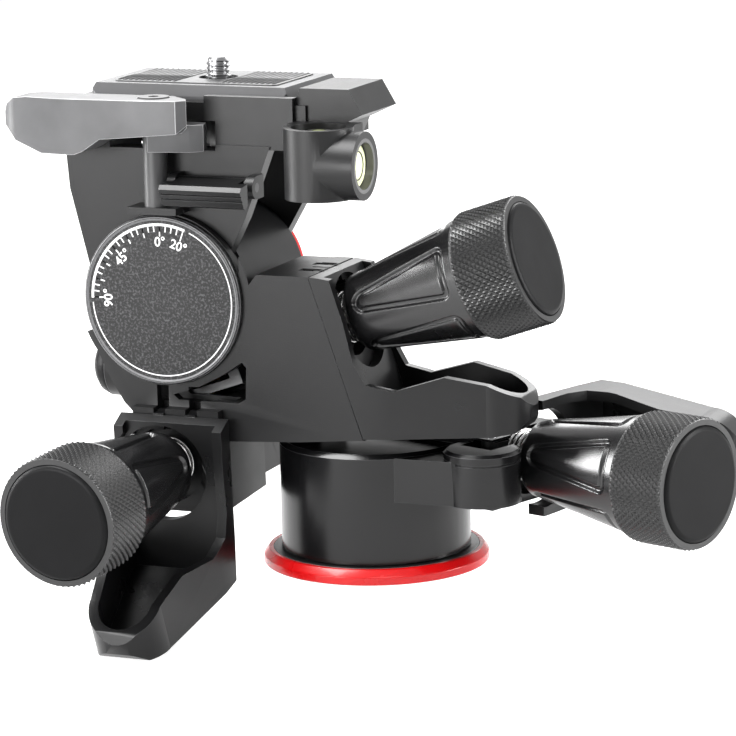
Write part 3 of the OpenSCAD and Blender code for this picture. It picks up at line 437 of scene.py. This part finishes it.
# %% Tree runner
def new_geometry_tree(name, inputs):
    tree = bpy.data.node_groups.new(name, "GeometryNodeTree")
    tree.interface.new_socket("Geometry", in_out="OUTPUT", socket_type="NodeSocketGeometry")
    for label, kind, value in inputs:
        socket = tree.interface.new_socket(label, in_out="INPUT", socket_type=kind)
        if value is not None:
            socket.default_value = value
    return tree, tree.nodes.new("NodeGroupInput").outputs, tree.nodes.new("NodeGroupOutput")


def close_tree(tree, outside, geometry, finish_socket):
    real = add_node(tree, "GeometryNodeRealizeInstances", {0: geometry})
    painted = add_node(tree, "GeometryNodeSetMaterial",
                       {"Geometry": real.outputs[0], "Material": finish_socket})
    tree.links.new(painted.outputs[0], outside.inputs[0])


def run_tree(tree, name, place, values, smooth=False):
    holder = bpy.data.objects.new(name + "_tree", bpy.data.meshes.new(name + "_tree"))
    bpy.context.scene.collection.objects.link(holder)
    modifier = holder.modifiers.new("tree", "NODES")
    modifier.node_group = tree
    for item in tree.interface.items_tree:
        if item.in_out == "INPUT" and item.name in values:
            modifier[item.identifier] = values[item.name]
    bpy.context.view_layer.update()
    graph = bpy.context.evaluated_depsgraph_get()
    mesh = bpy.data.meshes.new_from_object(holder.evaluated_get(graph))
    bpy.data.objects.remove(holder)
    mesh.name = name
    mesh.transform(place)
    for face in mesh.polygons:
        face.use_smooth = smooth
    piece = bpy.data.objects.new(name, mesh)
    bpy.context.scene.collection.objects.link(piece)
    return piece


def knob_line(name):
    """The frame of a knob: z runs out along its shaft from the worm."""
    joint = joints[name]
    along = Vector(joint["axis"]).normalized()
    if along.dot(Vector((1, -1, 0))) < 0:
        along = -along
    across = along.cross(Vector((0, 0, 1))).normalized()
    turn = Matrix((across, along.cross(across), along)).transposed()
    return Matrix.Translation(joint["pos_m"]) @ turn.to_4x4()


# %% [markdown]
# ## The knurled grips
# Each knob ends in a sleeve with a diamond knurl. The knurl is the lower of two crossing helical
# saw waves, so a grid that is wrapped round a cylinder and pushed in along its grooves gives true
# little pyramids. The first and last rows fold back to the bore, which closes the sleeve.

# %% Wrapped grid
MERGE_DISTANCE = 0.000004


def sleeve_grid(tree, given):
    """A grid whose columns run round a sleeve and whose rows run along it, with folded ends."""
    last = do_math(tree, "SUBTRACT", given["Rows"], 1.0)
    grid = add_node(tree, "GeometryNodeMeshGrid", {"Size X": 1.0, "Size Y": last,
                    "Vertices X": given["Columns"], "Vertices Y": given["Rows"]})
    flat = add_node(tree, "ShaderNodeSeparateXYZ",
                    {0: add_node(tree, "GeometryNodeInputPosition").outputs[0]})
    round_share = do_math(tree, "ADD", flat.outputs[0], 0.5)
    row = do_math(tree, "ROUND", do_math(tree, "MULTIPLY_ADD", last, 0.5, flat.outputs[1]))
    steps = do_math(tree, "SUBTRACT", last, 3.0)
    raw = do_math(tree, "DIVIDE", do_math(tree, "SUBTRACT", row, 1.0), steps)
    share = add_node(tree, "ShaderNodeClamp", {"Value": raw}).outputs[0]
    is_last = do_math(tree, "GREATER_THAN", row, do_math(tree, "SUBTRACT", last, 0.5))
    along = do_math(tree, "MULTIPLY", share, do_math(tree, "SUBTRACT", 1.0, is_last))
    first_row = do_math(tree, "LESS_THAN", row, 0.5)
    end_row = do_math(tree, "GREATER_THAN", row, do_math(tree, "SUBTRACT", last, 1.5))
    folded = do_math(tree, "MAXIMUM", first_row, end_row)
    return grid.outputs[0], round_share, share, along, folded


def wrap_sleeve(tree, given, outside, grid, round_share, along, folded, outer):
    reach = add_node(tree, "GeometryNodeSwitch", {0: folded, 1: outer, 2: given["Bore"]},
                     input_type="FLOAT").outputs[0]
    angle = do_math(tree, "MULTIPLY", round_share, math.tau)
    spot = add_node(tree, "ShaderNodeCombineXYZ", {
        0: do_math(tree, "MULTIPLY", reach, do_math(tree, "COSINE", angle)),
        1: do_math(tree, "MULTIPLY", reach, do_math(tree, "SINE", angle)),
        2: do_math(tree, "MULTIPLY", along, given["Length"])})
    wrapped = add_node(tree, "GeometryNodeSetPosition",
                       {"Geometry": grid, "Position": spot.outputs[0]})
    closed = add_node(tree, "GeometryNodeMergeByDistance",
                      {"Geometry": wrapped.outputs[0], "Distance": MERGE_DISTANCE})
    close_tree(tree, outside, closed.outputs[0], given["Finish"])


# %% Knurl tree
# How fast the knurl fades in from each end of the grip.
END_FADE = 22.0


def knurl_tree():
    tree, given, outside = new_geometry_tree("diamond_knurl", [
        ("Radius", "NodeSocketFloat", 0.0172), ("Bore", "NodeSocketFloat", 0.0152),
        ("Length", "NodeSocketFloat", 0.0162), ("Depth", "NodeSocketFloat", 0.00055),
        ("Diamonds round", "NodeSocketFloat", 64.0), ("Diamonds along", "NodeSocketFloat", 8.0),
        ("Columns", "NodeSocketInt", 385), ("Rows", "NodeSocketInt", 52),
        ("Finish", "NodeSocketMaterial", None)])
    grid, round_share, share, along, folded = sleeve_grid(tree, given)
    around = do_math(tree, "MULTIPLY", round_share, given["Diamonds round"])
    climb = do_math(tree, "MULTIPLY", share, given["Diamonds along"])
    waves = []
    for way in ("ADD", "SUBTRACT"):
        phase = do_math(tree, "FLOORED_MODULO", do_math(tree, way, around, climb), 1.0)
        saw = do_math(tree, "ABSOLUTE", do_math(tree, "MULTIPLY_ADD", phase, 2.0, -1.0))
        waves.append(do_math(tree, "SUBTRACT", 1.0, saw))
    peak = do_math(tree, "MINIMUM", waves[0], waves[1])
    near_end = do_math(tree, "MINIMUM", share, do_math(tree, "SUBTRACT", 1.0, share))
    fade = do_math(tree, "MINIMUM", do_math(tree, "MULTIPLY", near_end, END_FADE), 1.0)
    sunk = do_math(tree, "SUBTRACT", 1.0, do_math(tree, "MULTIPLY", peak, fade))
    cut = do_math(tree, "MULTIPLY", sunk, given["Depth"])
    outer = do_math(tree, "SUBTRACT", given["Radius"], cut)
    wrap_sleeve(tree, given, outside, grid, round_share, along, folded, outer)
    return tree


# %% Three grips
KNOB_LENGTH = 52.0
GRIP_LENGTH = 17.0
REACH = {"pan": 41.0, "tilt": 40.0, "roll": 45.5}
KNURL = knurl_tree()
for line, reach in REACH.items():
    start = Matrix.Translation((0, 0, (reach + KNOB_LENGTH - GRIP_LENGTH) * MM))
    grip = run_tree(KNURL, line + "_knurl", knob_line(line + "_knob") @ start, {"Finish": GRIP})
    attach(grip, line + "_turn")
    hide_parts(line + "_grip")
    print(grip.name, "faces", len(grip.data.polygons))


# %% [markdown]
# ## The knobs' sunk panels
# The smooth cone of a knob has five long panels, each with a groove round a raised field. How far a
# point is from the panel's rounded outline decides how deep the cone's grid is pushed in there.

# %% Panelled cone tree
PANELS = 5.0
PANEL_PHASE = 0.75
PANEL_START, PANEL_END = 3.0, 32.4
PANEL_HALF_WIDTH, PANEL_SPREAD = 5.2, 0.175
PANEL_CORNER, PANEL_DEPTH = 2.7, 1.0
# distances in from the panel's outline
GROOVE_FLOOR, FIELD_FOOT, FIELD_TOP = 0.55, 1.45, 2.0
FIELD_RISE = PANEL_DEPTH - 0.2
NECK_ROUND = 0.8


def ease(tree, value, low, high, reach):
    return add_node(tree, "ShaderNodeMapRange", {0: value, 1: low, 2: high, 3: 0.0, 4: reach},
                    interpolation_type="SMOOTHSTEP").outputs[0]


def panel_depth(tree, given, round_share, along, radius):
    """How far the cone is pushed in at each point, in metres."""
    middle = (PANEL_START + PANEL_END) / 2 * MM
    half_length = (PANEL_END - PANEL_START) / 2 * MM
    turn = do_math(tree, "MULTIPLY_ADD", round_share, PANELS, PANEL_PHASE)
    turn = do_math(tree, "SUBTRACT", do_math(tree, "FLOORED_MODULO", turn, 1.0), 0.5)
    across = do_math(tree, "ABSOLUTE", do_math(tree, "MULTIPLY", turn, math.tau / PANELS))
    across = do_math(tree, "MULTIPLY", across, radius)
    place = do_math(tree, "MULTIPLY", along, given["Length"])
    half_width = do_math(tree, "MULTIPLY_ADD", do_math(tree, "SUBTRACT", place, middle),
                         PANEL_SPREAD, PANEL_HALF_WIDTH * MM)
    to_side = do_math(tree, "SUBTRACT", across, half_width)
    to_end = do_math(tree, "SUBTRACT", do_math(
        tree, "ABSOLUTE", do_math(tree, "SUBTRACT", place, middle)), half_length)
    corner = PANEL_CORNER * MM
    to_side = do_math(tree, "ADD", to_side, corner)
    to_end = do_math(tree, "ADD", to_end, corner)
    side_out = do_math(tree, "MAXIMUM", to_side, 0.0)
    end_out = do_math(tree, "MAXIMUM", to_end, 0.0)
    squares = do_math(tree, "MULTIPLY_ADD", side_out, side_out,
                      do_math(tree, "MULTIPLY", end_out, end_out))
    inner = do_math(tree, "MINIMUM", do_math(tree, "MAXIMUM", to_side, to_end), 0.0)
    distance = do_math(tree, "ADD", do_math(tree, "SQRT", squares), inner)
    inside = do_math(tree, "SUBTRACT", corner, distance)
    groove = ease(tree, inside, 0.0, GROOVE_FLOOR * MM, PANEL_DEPTH * MM)
    field = ease(tree, inside, FIELD_FOOT * MM, FIELD_TOP * MM, FIELD_RISE * MM)
    return do_math(tree, "SUBTRACT", groove, field)


def cone_tree():
    tree, given, outside = new_geometry_tree("panelled_cone", [
        ("Neck radius", "NodeSocketFloat", 0.0101), ("End radius", "NodeSocketFloat", 0.0161),
        ("Bore", "NodeSocketFloat", 0.0035), ("Length", "NodeSocketFloat", 0.035),
        ("Columns", "NodeSocketInt", 401), ("Rows", "NodeSocketInt", 128),
        ("Finish", "NodeSocketMaterial", None)])
    grid, round_share, share, along, folded = sleeve_grid(tree, given)
    spread = do_math(tree, "SUBTRACT", given["End radius"], given["Neck radius"])
    cone = do_math(tree, "MULTIPLY_ADD", share, spread, given["Neck radius"])
    rounded = do_math(tree, "MULTIPLY_ADD", share, given["Length"],
                      do_math(tree, "SUBTRACT", given["Neck radius"], NECK_ROUND * MM))
    radius = do_math(tree, "MINIMUM", cone, rounded)
    depth = panel_depth(tree, given, round_share, along, radius)
    outer = do_math(tree, "SUBTRACT", radius, depth)
    wrap_sleeve(tree, given, outside, grid, round_share, along, folded, outer)
    return tree


# %% Three cones
CONE_SHARP = math.radians(60)
CONES = cone_tree()
for line, reach in REACH.items():
    start = Matrix.Translation((0, 0, reach * MM))
    cone = run_tree(CONES, line + "_cone", knob_line(line + "_knob") @ start, {"Finish": KNOB},
                    smooth=True)
    cone.data.set_sharp_from_angle(angle=CONE_SHARP)
    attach(cone, line + "_turn")
    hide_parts(line + "_knob")
    print(cone.name, "faces", len(cone.data.polygons))


# %% [markdown]
# ## Coils and threads
# A spring and a screw thread are the same thing to draw: a section that follows a helix. The spring
# takes a round section. The thread takes a square one that stands on its corner.

# %% Helix tree
def helix_tree():
    tree, given, outside = new_geometry_tree("helix", [
        ("Radius", "NodeSocketFloat", 0.0066), ("Turns", "NodeSocketFloat", 4.0),
        ("Length", "NodeSocketFloat", 0.0064), ("Section", "NodeSocketFloat", 0.00045),
        ("Section sides", "NodeSocketInt", 12), ("Steps a turn", "NodeSocketInt", 48),
        ("Finish", "NodeSocketMaterial", None)])
    path = add_node(tree, "GeometryNodeCurveSpiral", {
        "Resolution": given["Steps a turn"], "Rotations": given["Turns"],
        "Start Radius": given["Radius"], "End Radius": given["Radius"], "Height": given["Length"]})
    upright = add_node(tree, "GeometryNodeSetCurveNormal", {"Curve": path.outputs[0]})
    upright.mode = "Z_UP"
    section = add_node(tree, "GeometryNodeCurvePrimitiveCircle",
                       {"Resolution": given["Section sides"], "Radius": given["Section"]})
    tube = add_node(tree, "GeometryNodeCurveToMesh", {
        "Curve": upright.outputs[0], "Profile Curve": section.outputs[0], "Fill Caps": True})
    close_tree(tree, outside, tube.outputs[0], given["Finish"])
    return tree


# %% Springs behind the knobs
HELIX = helix_tree()
SPRING_BACK = 7.05
SPRING_FRONT = 0.65
for line, reach in REACH.items():
    start = Matrix.Translation((0, 0, (reach - SPRING_BACK) * MM))
    spring = run_tree(HELIX, line + "_coil", knob_line(line + "_knob") @ start, {
        "Length": (SPRING_BACK - SPRING_FRONT) * MM, "Finish": WIRE}, smooth=True)
    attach(spring, nodes[line + "_spring"]["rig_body"])
    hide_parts(line + "_spring")


# %% [markdown]
# ## The camera screw
# The stud that holds a camera is a quarter inch across with twenty turns to the inch. A turned core
# carries a wound ridge, and its low head lies under the plate.

# %% Lathe helper
LATHE_SHARP = math.radians(30)
LATHE_SAME_PLACE = 1e-7


def turned(name, profile, finish, segments=96):
    """A closed solid of revolution about z, from (radius, height) pairs in millimetres."""
    mesh = bpy.data.meshes.new(name)
    work = bmesh.new()
    line = [work.verts.new((radius * MM, 0, height * MM)) for radius, height in profile]
    edges = [work.edges.new(pair) for pair in zip(line, line[1:])]
    bmesh.ops.spin(work, geom=line + edges, cent=(0, 0, 0), axis=(0, 0, 1), dvec=(0, 0, 0),
                   angle=math.tau, steps=segments, use_merge=True)
    bmesh.ops.remove_doubles(work, verts=work.verts, dist=LATHE_SAME_PLACE)
    bmesh.ops.recalc_face_normals(work, faces=work.faces)
    for face in work.faces:
        face.smooth = True
    work.to_mesh(mesh)
    work.free()
    mesh.set_sharp_from_angle(angle=LATHE_SHARP)
    mesh.materials.append(finish)
    piece = bpy.data.objects.new(name, mesh)
    bpy.context.scene.collection.objects.link(piece)
    return piece


# %% Knob cores
# A core fills the grip from the shaft's bore to the knurled sleeve.
BORE_R, CORE_R = 3.5, 15.1
CORE_START, CORE_END = 34.9, 49.3
for line, reach in REACH.items():
    near, far = reach + CORE_START, reach + CORE_END
    core = turned(line + "_core", [(BORE_R, near), (CORE_R, near), (CORE_R, far), (BORE_R, far),
                                   (BORE_R, near)], KNOB)
    core.data.transform(knob_line(line + "_knob"))
    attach(core, line + "_turn")

# %% Screw
SCREW_X = -42.5
screw_low, screw_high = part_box("camera_screw")
foot = screw_low.z / MM
top = screw_high.z / MM
PITCH = 1.27
THREAD_R = 3.175
THREAD_DEPTH = 0.5
THREAD_SECTION = 0.49
THREAD_TURNS = 3.2
THREAD_LOW = top - 4.75
HEAD_R, HEAD_T = 8.5, 3.7
NECK_R, NECK_TOP = 3.4, top - 4.9
ROOT_R = 2.72
stud = turned("camera_screw_turned", [
    (0, foot), (7.9, foot), (HEAD_R, foot + 0.5), (HEAD_R, foot + 3.3), (8.1, foot + HEAD_T),
    (NECK_R, foot + HEAD_T), (NECK_R, NECK_TOP), (ROOT_R, NECK_TOP), (ROOT_R, top - 0.5),
    (2.2, top), (0, top)], SCREW_STEEL)
stud.data.transform(Matrix.Translation((SCREW_X * MM, 0, 0)))
ridge = run_tree(HELIX, "camera_screw_thread", Matrix.Translation(
    (SCREW_X * MM, 0, THREAD_LOW * MM)), {
        "Radius": (THREAD_R - THREAD_DEPTH) * MM, "Turns": THREAD_TURNS,
        "Length": THREAD_TURNS * PITCH * MM,
        "Section": THREAD_SECTION * MM, "Section sides": 4, "Finish": SCREW_STEEL})
for piece in (stud, ridge):
    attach(piece, "screw")
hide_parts("camera_screw")
print("camera screw from", round(foot, 2), "to", round(top, 2), "mm")

# %% [markdown]
# ## The dial's scale
# The side-tilt dial is read from the front: a tick every five degrees, a longer one every fifteen,
# and four plain numbers. The ticks repeat round a circle, so a tree places them. The numbers are
# text made into thin meshes, turned to stand on the circle.

# %% Dial plane
DIAL_X, DIAL_Z = -48.35, 72.3
DIAL_SUNK = 0.2
INK = 0.04
dial_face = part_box("roll_dial")[0].y / MM + DIAL_SUNK
DIAL_PLANE = Matrix.Translation((DIAL_X * MM, dial_face * MM, DIAL_Z * MM)) @ Matrix.Rotation(
    math.radians(90), 4, "X")


# %% Tick tree
def tick_tree():
    tree, given, outside = new_geometry_tree("scale_ticks", [
        ("Radius", "NodeSocketFloat", 0.019), ("First", "NodeSocketFloat", 0.0),
        ("Step", "NodeSocketFloat", 5.0), ("Count", "NodeSocketInt", 10),
        ("Width", "NodeSocketFloat", 0.0003), ("Length", "NodeSocketFloat", 0.002),
        ("Thickness", "NodeSocketFloat", 0.00004), ("Finish", "NodeSocketMaterial", None)])
    points = add_node(tree, "GeometryNodePoints", {"Count": given["Count"]})
    index = add_node(tree, "GeometryNodeInputIndex").outputs[0]
    degrees = do_math(tree, "MULTIPLY_ADD", index, given["Step"], given["First"])
    angle = do_math(tree, "RADIANS", degrees)
    spot = add_node(tree, "ShaderNodeCombineXYZ", {
        0: do_math(tree, "MULTIPLY", given["Radius"], do_math(tree, "MULTIPLY",
                   do_math(tree, "SINE", angle), -1.0)),
        1: do_math(tree, "MULTIPLY", given["Radius"], do_math(tree, "COSINE", angle))})
    placed = add_node(tree, "GeometryNodeSetPosition",
                      {"Geometry": points.outputs[0], "Position": spot.outputs[0]})
    size = add_node(tree, "ShaderNodeCombineXYZ",
                    {0: given["Width"], 1: given["Length"], 2: given["Thickness"]})
    bar = add_node(tree, "GeometryNodeMeshCube", {"Size": size.outputs[0]})
    turn = add_node(tree, "ShaderNodeCombineXYZ", {2: angle})
    ticks = add_node(tree, "GeometryNodeInstanceOnPoints", {
        "Points": placed.outputs[0], "Instance": bar.outputs[0], "Rotation": turn.outputs[0]})
    close_tree(tree, outside, ticks.outputs[0], given["Finish"])
    return tree


# %% Ticks
TICKS = tick_tree()
TICK_WIDTH = 0.34
for name, first, step, count, length, inner in (
        ("dial_ticks", -15.0, 5.0, 22, 1.5, 18.9), ("dial_long_ticks", 0.0, 15.0, 7, 2.7, 18.3),
        ("dial_end_tick", -20.0, 5.0, 1, 2.7, 18.3)):
    ticks = run_tree(TICKS, name, DIAL_PLANE, {
        "Radius": inner * MM, "First": first, "Step": step, "Count": count,
        "Width": TICK_WIDTH * MM, "Length": length * MM, "Thickness": INK * MM,
        "Finish": WHITE_INK})
    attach(ticks, "tilt")


# %% Arc bands
def arc_band(name, inner, outer, first, last, steps):
    mesh = bpy.data.meshes.new(name)
    work = bmesh.new()
    rings = []
    for step in range(steps + 1):
        angle = math.radians(first + (last - first) * step / steps)
        rings.append([work.verts.new((-radius * math.sin(angle) * MM, radius * math.cos(angle) * MM,
                                      side * INK * MM))
                      for radius, side in ((inner, 0), (outer, 0), (outer, 0.5), (inner, 0.5))])
    for before, after in zip(rings, rings[1:]):
        for corner in range(4):
            other = (corner + 1) % 4
            work.faces.new((before[corner], before[other], after[other], after[corner]))
    work.faces.new(rings[0])
    work.faces.new(rings[-1])
    bmesh.ops.recalc_face_normals(work, faces=work.faces)
    work.to_mesh(mesh)
    work.free()
    mesh.transform(DIAL_PLANE)
    mesh.materials.append(WHITE_INK)
    band = bpy.data.objects.new(name, mesh)
    bpy.context.scene.collection.objects.link(band)
    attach(band, "tilt")


# name, inner and outer radius, first and last angle, steps
arc_band("dial_scale_band", 19.7, 20.4, -21, 90.6, 60)
arc_band("dial_thin_circle", 19.9, 20.2, 94, 335, 110)


# %% Numbers
NUMBER_RADIUS, NUMBER_SIZE = 15.4, 3.5
NUMBER_BOLD = 0.05


def dial_number(text, degrees, radius, size):
    curve = bpy.data.curves.new("number", "FONT")
    curve.body = text
    curve.size = size * MM
    curve.align_x = "CENTER"
    curve.align_y = "CENTER"
    curve.extrude = INK * 0.5 * MM
    curve.offset = NUMBER_BOLD * MM
    holder = bpy.data.objects.new("number", curve)
    bpy.context.scene.collection.objects.link(holder)
    bpy.context.view_layer.update()
    mesh = bpy.data.meshes.new_from_object(
        holder.evaluated_get(bpy.context.evaluated_depsgraph_get()))
    bpy.data.objects.remove(holder)
    angle = math.radians(degrees)
    mesh.transform(DIAL_PLANE @ Matrix.Rotation(angle, 4, "Z")
                   @ Matrix.Translation((0, radius * MM, 0)))
    mesh.materials.clear()
    mesh.materials.append(WHITE_INK)
    piece = bpy.data.objects.new("dial_number_" + str(abs(degrees)), mesh)
    bpy.context.scene.collection.objects.link(piece)
    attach(piece, "tilt")


for text, degrees in (("0°", 0), ("20°", -20), ("45°", 45), ("90°", 90)):
    dial_number(text, degrees, NUMBER_RADIUS, NUMBER_SIZE)

# %% [markdown]
# ## The plate's rubber pad
# The pad keeps a camera from slipping and is moulded with fine ribs across the plate. One rounded
# bar repeats along the pad.

# %% Rib tree
def rib_tree():
    tree, given, outside = new_geometry_tree("pad_ribs", [
        ("Count", "NodeSocketInt", 24), ("Pitch", "NodeSocketFloat", 0.002),
        ("Rib length", "NodeSocketFloat", 0.04), ("Rib radius", "NodeSocketFloat", 0.0005),
        ("Finish", "NodeSocketMaterial", None)])
    step = add_node(tree, "ShaderNodeCombineXYZ", {0: given["Pitch"]})
    row = add_node(tree, "GeometryNodeMeshLine",
                   {"Count": given["Count"], "Offset": step.outputs[0]})
    bar = add_node(tree, "GeometryNodeMeshCylinder", {"Vertices": 12, "Radius": given["Rib radius"],
                   "Depth": given["Rib length"]})
    ribs = add_node(tree, "GeometryNodeInstanceOnPoints", {
        "Points": row.outputs[0], "Instance": bar.outputs[0],
        "Rotation": (math.radians(90), 0, 0)})
    close_tree(tree, outside, ribs.outputs[0], given["Finish"])
    return tree


# %% Ribs
RIBS = rib_tree()
pad_low, pad_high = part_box("plate_pad")
RIB_PITCH = 1.6
RIB_R = 0.5
RIB_PROUD = 0.0001
RIB_SUNK_SHARE = 0.45
PAD_MARGIN = 1.2
RIB_END_ROOM = 0.003
SCREW_CLEAR = 6.4
for side, start, stop in (("left", pad_low.x / MM + PAD_MARGIN, SCREW_X - SCREW_CLEAR),
                          ("right", SCREW_X + SCREW_CLEAR, pad_high.x / MM - PAD_MARGIN)):
    count = int((stop - start) / RIB_PITCH) + 1
    ribs = run_tree(RIBS, "pad_ribs_" + side, Matrix.Translation(
        (start * MM, 0, pad_high.z + RIB_PROUD - RIB_R * MM * RIB_SUNK_SHARE)), {
            "Count": count, "Pitch": RIB_PITCH * MM, "Rib radius": RIB_R * MM,
            "Rib length": (pad_high.y - pad_low.y) - RIB_END_ROOM, "Finish": PAD}, smooth=True)
    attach(ribs, "plate")

# %% [markdown]
# ## Spirit levels
# The round level on the tower and the tube level in its barrel both hold a yellow-green fluid with
# a black ring on the glass. The round one shows a bubble and lies in shade under its rim, and that
# shade is painted into the darker colours of its fluid and its bubble. The profiles are turned, and
# each point is a radius and a height.

# %% Round level
LEVEL_SEGMENTS = 64
BUBBLE_SEGMENTS = 48
vial_low, vial_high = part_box("round_vial")
vial_middle = (vial_low + vial_high) / 2
foot = vial_low.z / MM
# The glass and bubble take the darker finishes that paint the shade under the rim.
glass = turned("round_vial_glass", [(0, foot), (7.1, foot), (7.1, foot + 1.3), (6.3, foot + 1.7),
                                    (4.4, foot + 2.3), (0, foot + 2.6)], VIAL_PAINTED_SHADE)
bubble = turned("round_vial_bubble", [(0, foot + 2.2), (1.6, foot + 2.3), (2.0, foot + 2.55),
                                      (1.5, foot + 2.75), (0, foot + 2.85)], BUBBLE_PAINTED_SHADE,
                BUBBLE_SEGMENTS)
mark = turned("round_vial_mark", [(2.9, foot + 2.2), (3.3, foot + 2.2), (3.3, foot + 2.62),
                                  (2.9, foot + 2.62), (2.9, foot + 2.2)], BLACK_INK,
              LEVEL_SEGMENTS)
for piece in (glass, bubble, mark):
    piece.data.transform(Matrix.Translation((vial_middle.x, vial_middle.y, 0)))
    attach(piece, "head")
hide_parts("round_vial")

# %% Tube level
# The glass sits two millimetres behind the barrel's mouth, so the dark bore shows beside it.
tube_low, tube_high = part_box("tube_vial")
tube_middle = (tube_low + tube_high) / 2
foot = tube_low.x / MM
glass = turned("tube_vial_glass", [(0, foot), (5.9, foot), (5.9, foot + 2.5), (5.5, foot + 2.8),
                                   (0, foot + 2.9)], VIAL)
mark = turned("tube_vial_mark", [(3.5, foot + 2.7), (3.8, foot + 2.7), (3.8, foot + 3.0),
                                 (3.5, foot + 3.0), (3.5, foot + 2.7)], BLACK_INK,
              LEVEL_SEGMENTS)
collar = turned("tube_vial_collar", [
    (5.95, foot), (6.9, foot), (6.9, foot + 2.8), (5.95, foot + 2.8), (5.95, foot)], BLACK_INK,
    LEVEL_SEGMENTS)
for piece in (glass, mark, collar):
    piece.data.transform(Matrix.Translation((0, tube_middle.y, tube_middle.z))
                         @ Matrix.Rotation(math.radians(90), 4, "Y"))
    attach(piece, "head")
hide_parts("tube_vial")

# %% [markdown]
# ## The studio
# A white floor and an even white surround keep the picture plain. Both are white to the camera and
# to reflections, and give little light themselves, so the blacks stay deep. The floor's own grey
# still takes the head's shadow. Large soft lamps give the long highlights.

# %% Floor and surround
FLOOR_GLOW = 0.86
FLOOR_PAPER = (0.85, 0.85, 0.85, 1)
FLOOR_SHADE = (0.42, 0.42, 0.42, 1)
FLOOR_SIZE = 6.0
FLOOR_DROP = 0.0002
SURROUND_LIGHT = 0.10
WHITE = (1, 1, 1, 1)


def seen_rays(tree):
    rays = add_node(tree, "ShaderNodeLightPath").outputs
    direct = do_math(tree, "MAXIMUM", rays["Is Camera Ray"], rays["Is Glossy Ray"])
    return do_math(tree, "MAXIMUM", direct, rays["Is Transmission Ray"])


def white_floor():
    material = bpy.data.materials.new("floor_white")
    material.use_nodes = True
    tree = material.node_tree
    tree.nodes.clear()
    seen = seen_rays(tree)
    paper = add_node(tree, "ShaderNodeBsdfDiffuse", {"Color": FLOOR_PAPER})
    glow = add_node(tree, "ShaderNodeEmission", {"Color": WHITE, "Strength": FLOOR_GLOW})
    shade = add_node(tree, "ShaderNodeBsdfDiffuse", {"Color": FLOOR_SHADE})
    both = add_node(tree, "ShaderNodeAddShader", {0: shade.outputs[0], 1: glow.outputs[0]})
    mixed = add_node(tree, "ShaderNodeMixShader",
                     {0: seen, 1: paper.outputs[0], 2: both.outputs[0]})
    out = add_node(tree, "ShaderNodeOutputMaterial")
    tree.links.new(mixed.outputs[0], out.inputs[0])
    return material


floor_mesh = bpy.data.meshes.new("studio_floor")
half = FLOOR_SIZE / 2
floor_mesh.from_pydata([(-half, -half, 0), (half, -half, 0), (half, half, 0), (-half, half, 0)], [],
                       [(0, 1, 2, 3)])
floor_mesh.materials.append(white_floor())
floor = bpy.data.objects.new("studio_floor", floor_mesh)
floor.location.z = cad_low.z - FLOOR_DROP
bpy.context.scene.collection.objects.link(floor)

world = bpy.data.worlds.new("studio_surround")
bpy.context.scene.world = world
world.use_nodes = True
tree = world.node_tree
tree.nodes.clear()
shown = seen_rays(tree)
lit = add_node(tree, "ShaderNodeBackground", {"Color": WHITE, "Strength": SURROUND_LIGHT})
white = add_node(tree, "ShaderNodeBackground", {"Color": WHITE, "Strength": 1.0})
choice = add_node(tree, "ShaderNodeMixShader", {0: shown, 1: lit.outputs[0], 2: white.outputs[0]})
out = add_node(tree, "ShaderNodeOutputWorld")
tree.links.new(choice.outputs[0], out.inputs[0])


# %% Lamps
LAMP_AIM = Vector((0.0, 0.0, 0.065))


def soft_lamp(name, right, up, back, width, height, power):
    """An area lamp, placed in metres from the aim along the camera's own directions."""
    lamp = bpy.data.objects.new(name, bpy.data.lights.new(name, "AREA"))
    lamp.data.shape = "RECTANGLE"
    lamp.data.size = width
    lamp.data.size_y = height
    lamp.data.energy = power
    bpy.context.scene.collection.objects.link(lamp)
    lamp.location = LAMP_AIM + CAMERA_RIGHT * right + CAMERA_UP * up + CAMERA_BACK * back
    lamp.rotation_euler = (LAMP_AIM - lamp.location).to_track_quat("-Z", "Y").to_euler()


soft_lamp("key_top_left", -0.55, 0.95, 0.30, 0.7, 0.5, 25.0)
soft_lamp("strip_left", -0.95, 0.15, -0.08, 0.18, 0.9, 18.0)
soft_lamp("strip_right", 0.90, 0.20, 0.16, 0.26, 0.9, 18.0)
soft_lamp("front_above", 0.15, 0.55, 1.0, 0.5, 0.3, 4.0)
soft_lamp("front_left_low", -0.36, -0.01, 0.36, 0.28, 0.13, 1.9)
soft_lamp("rim_back", 0.1, 0.75, -0.8, 0.9, 0.4, 9.0)
bpy.context.scene.view_settings.view_transform = "Standard"
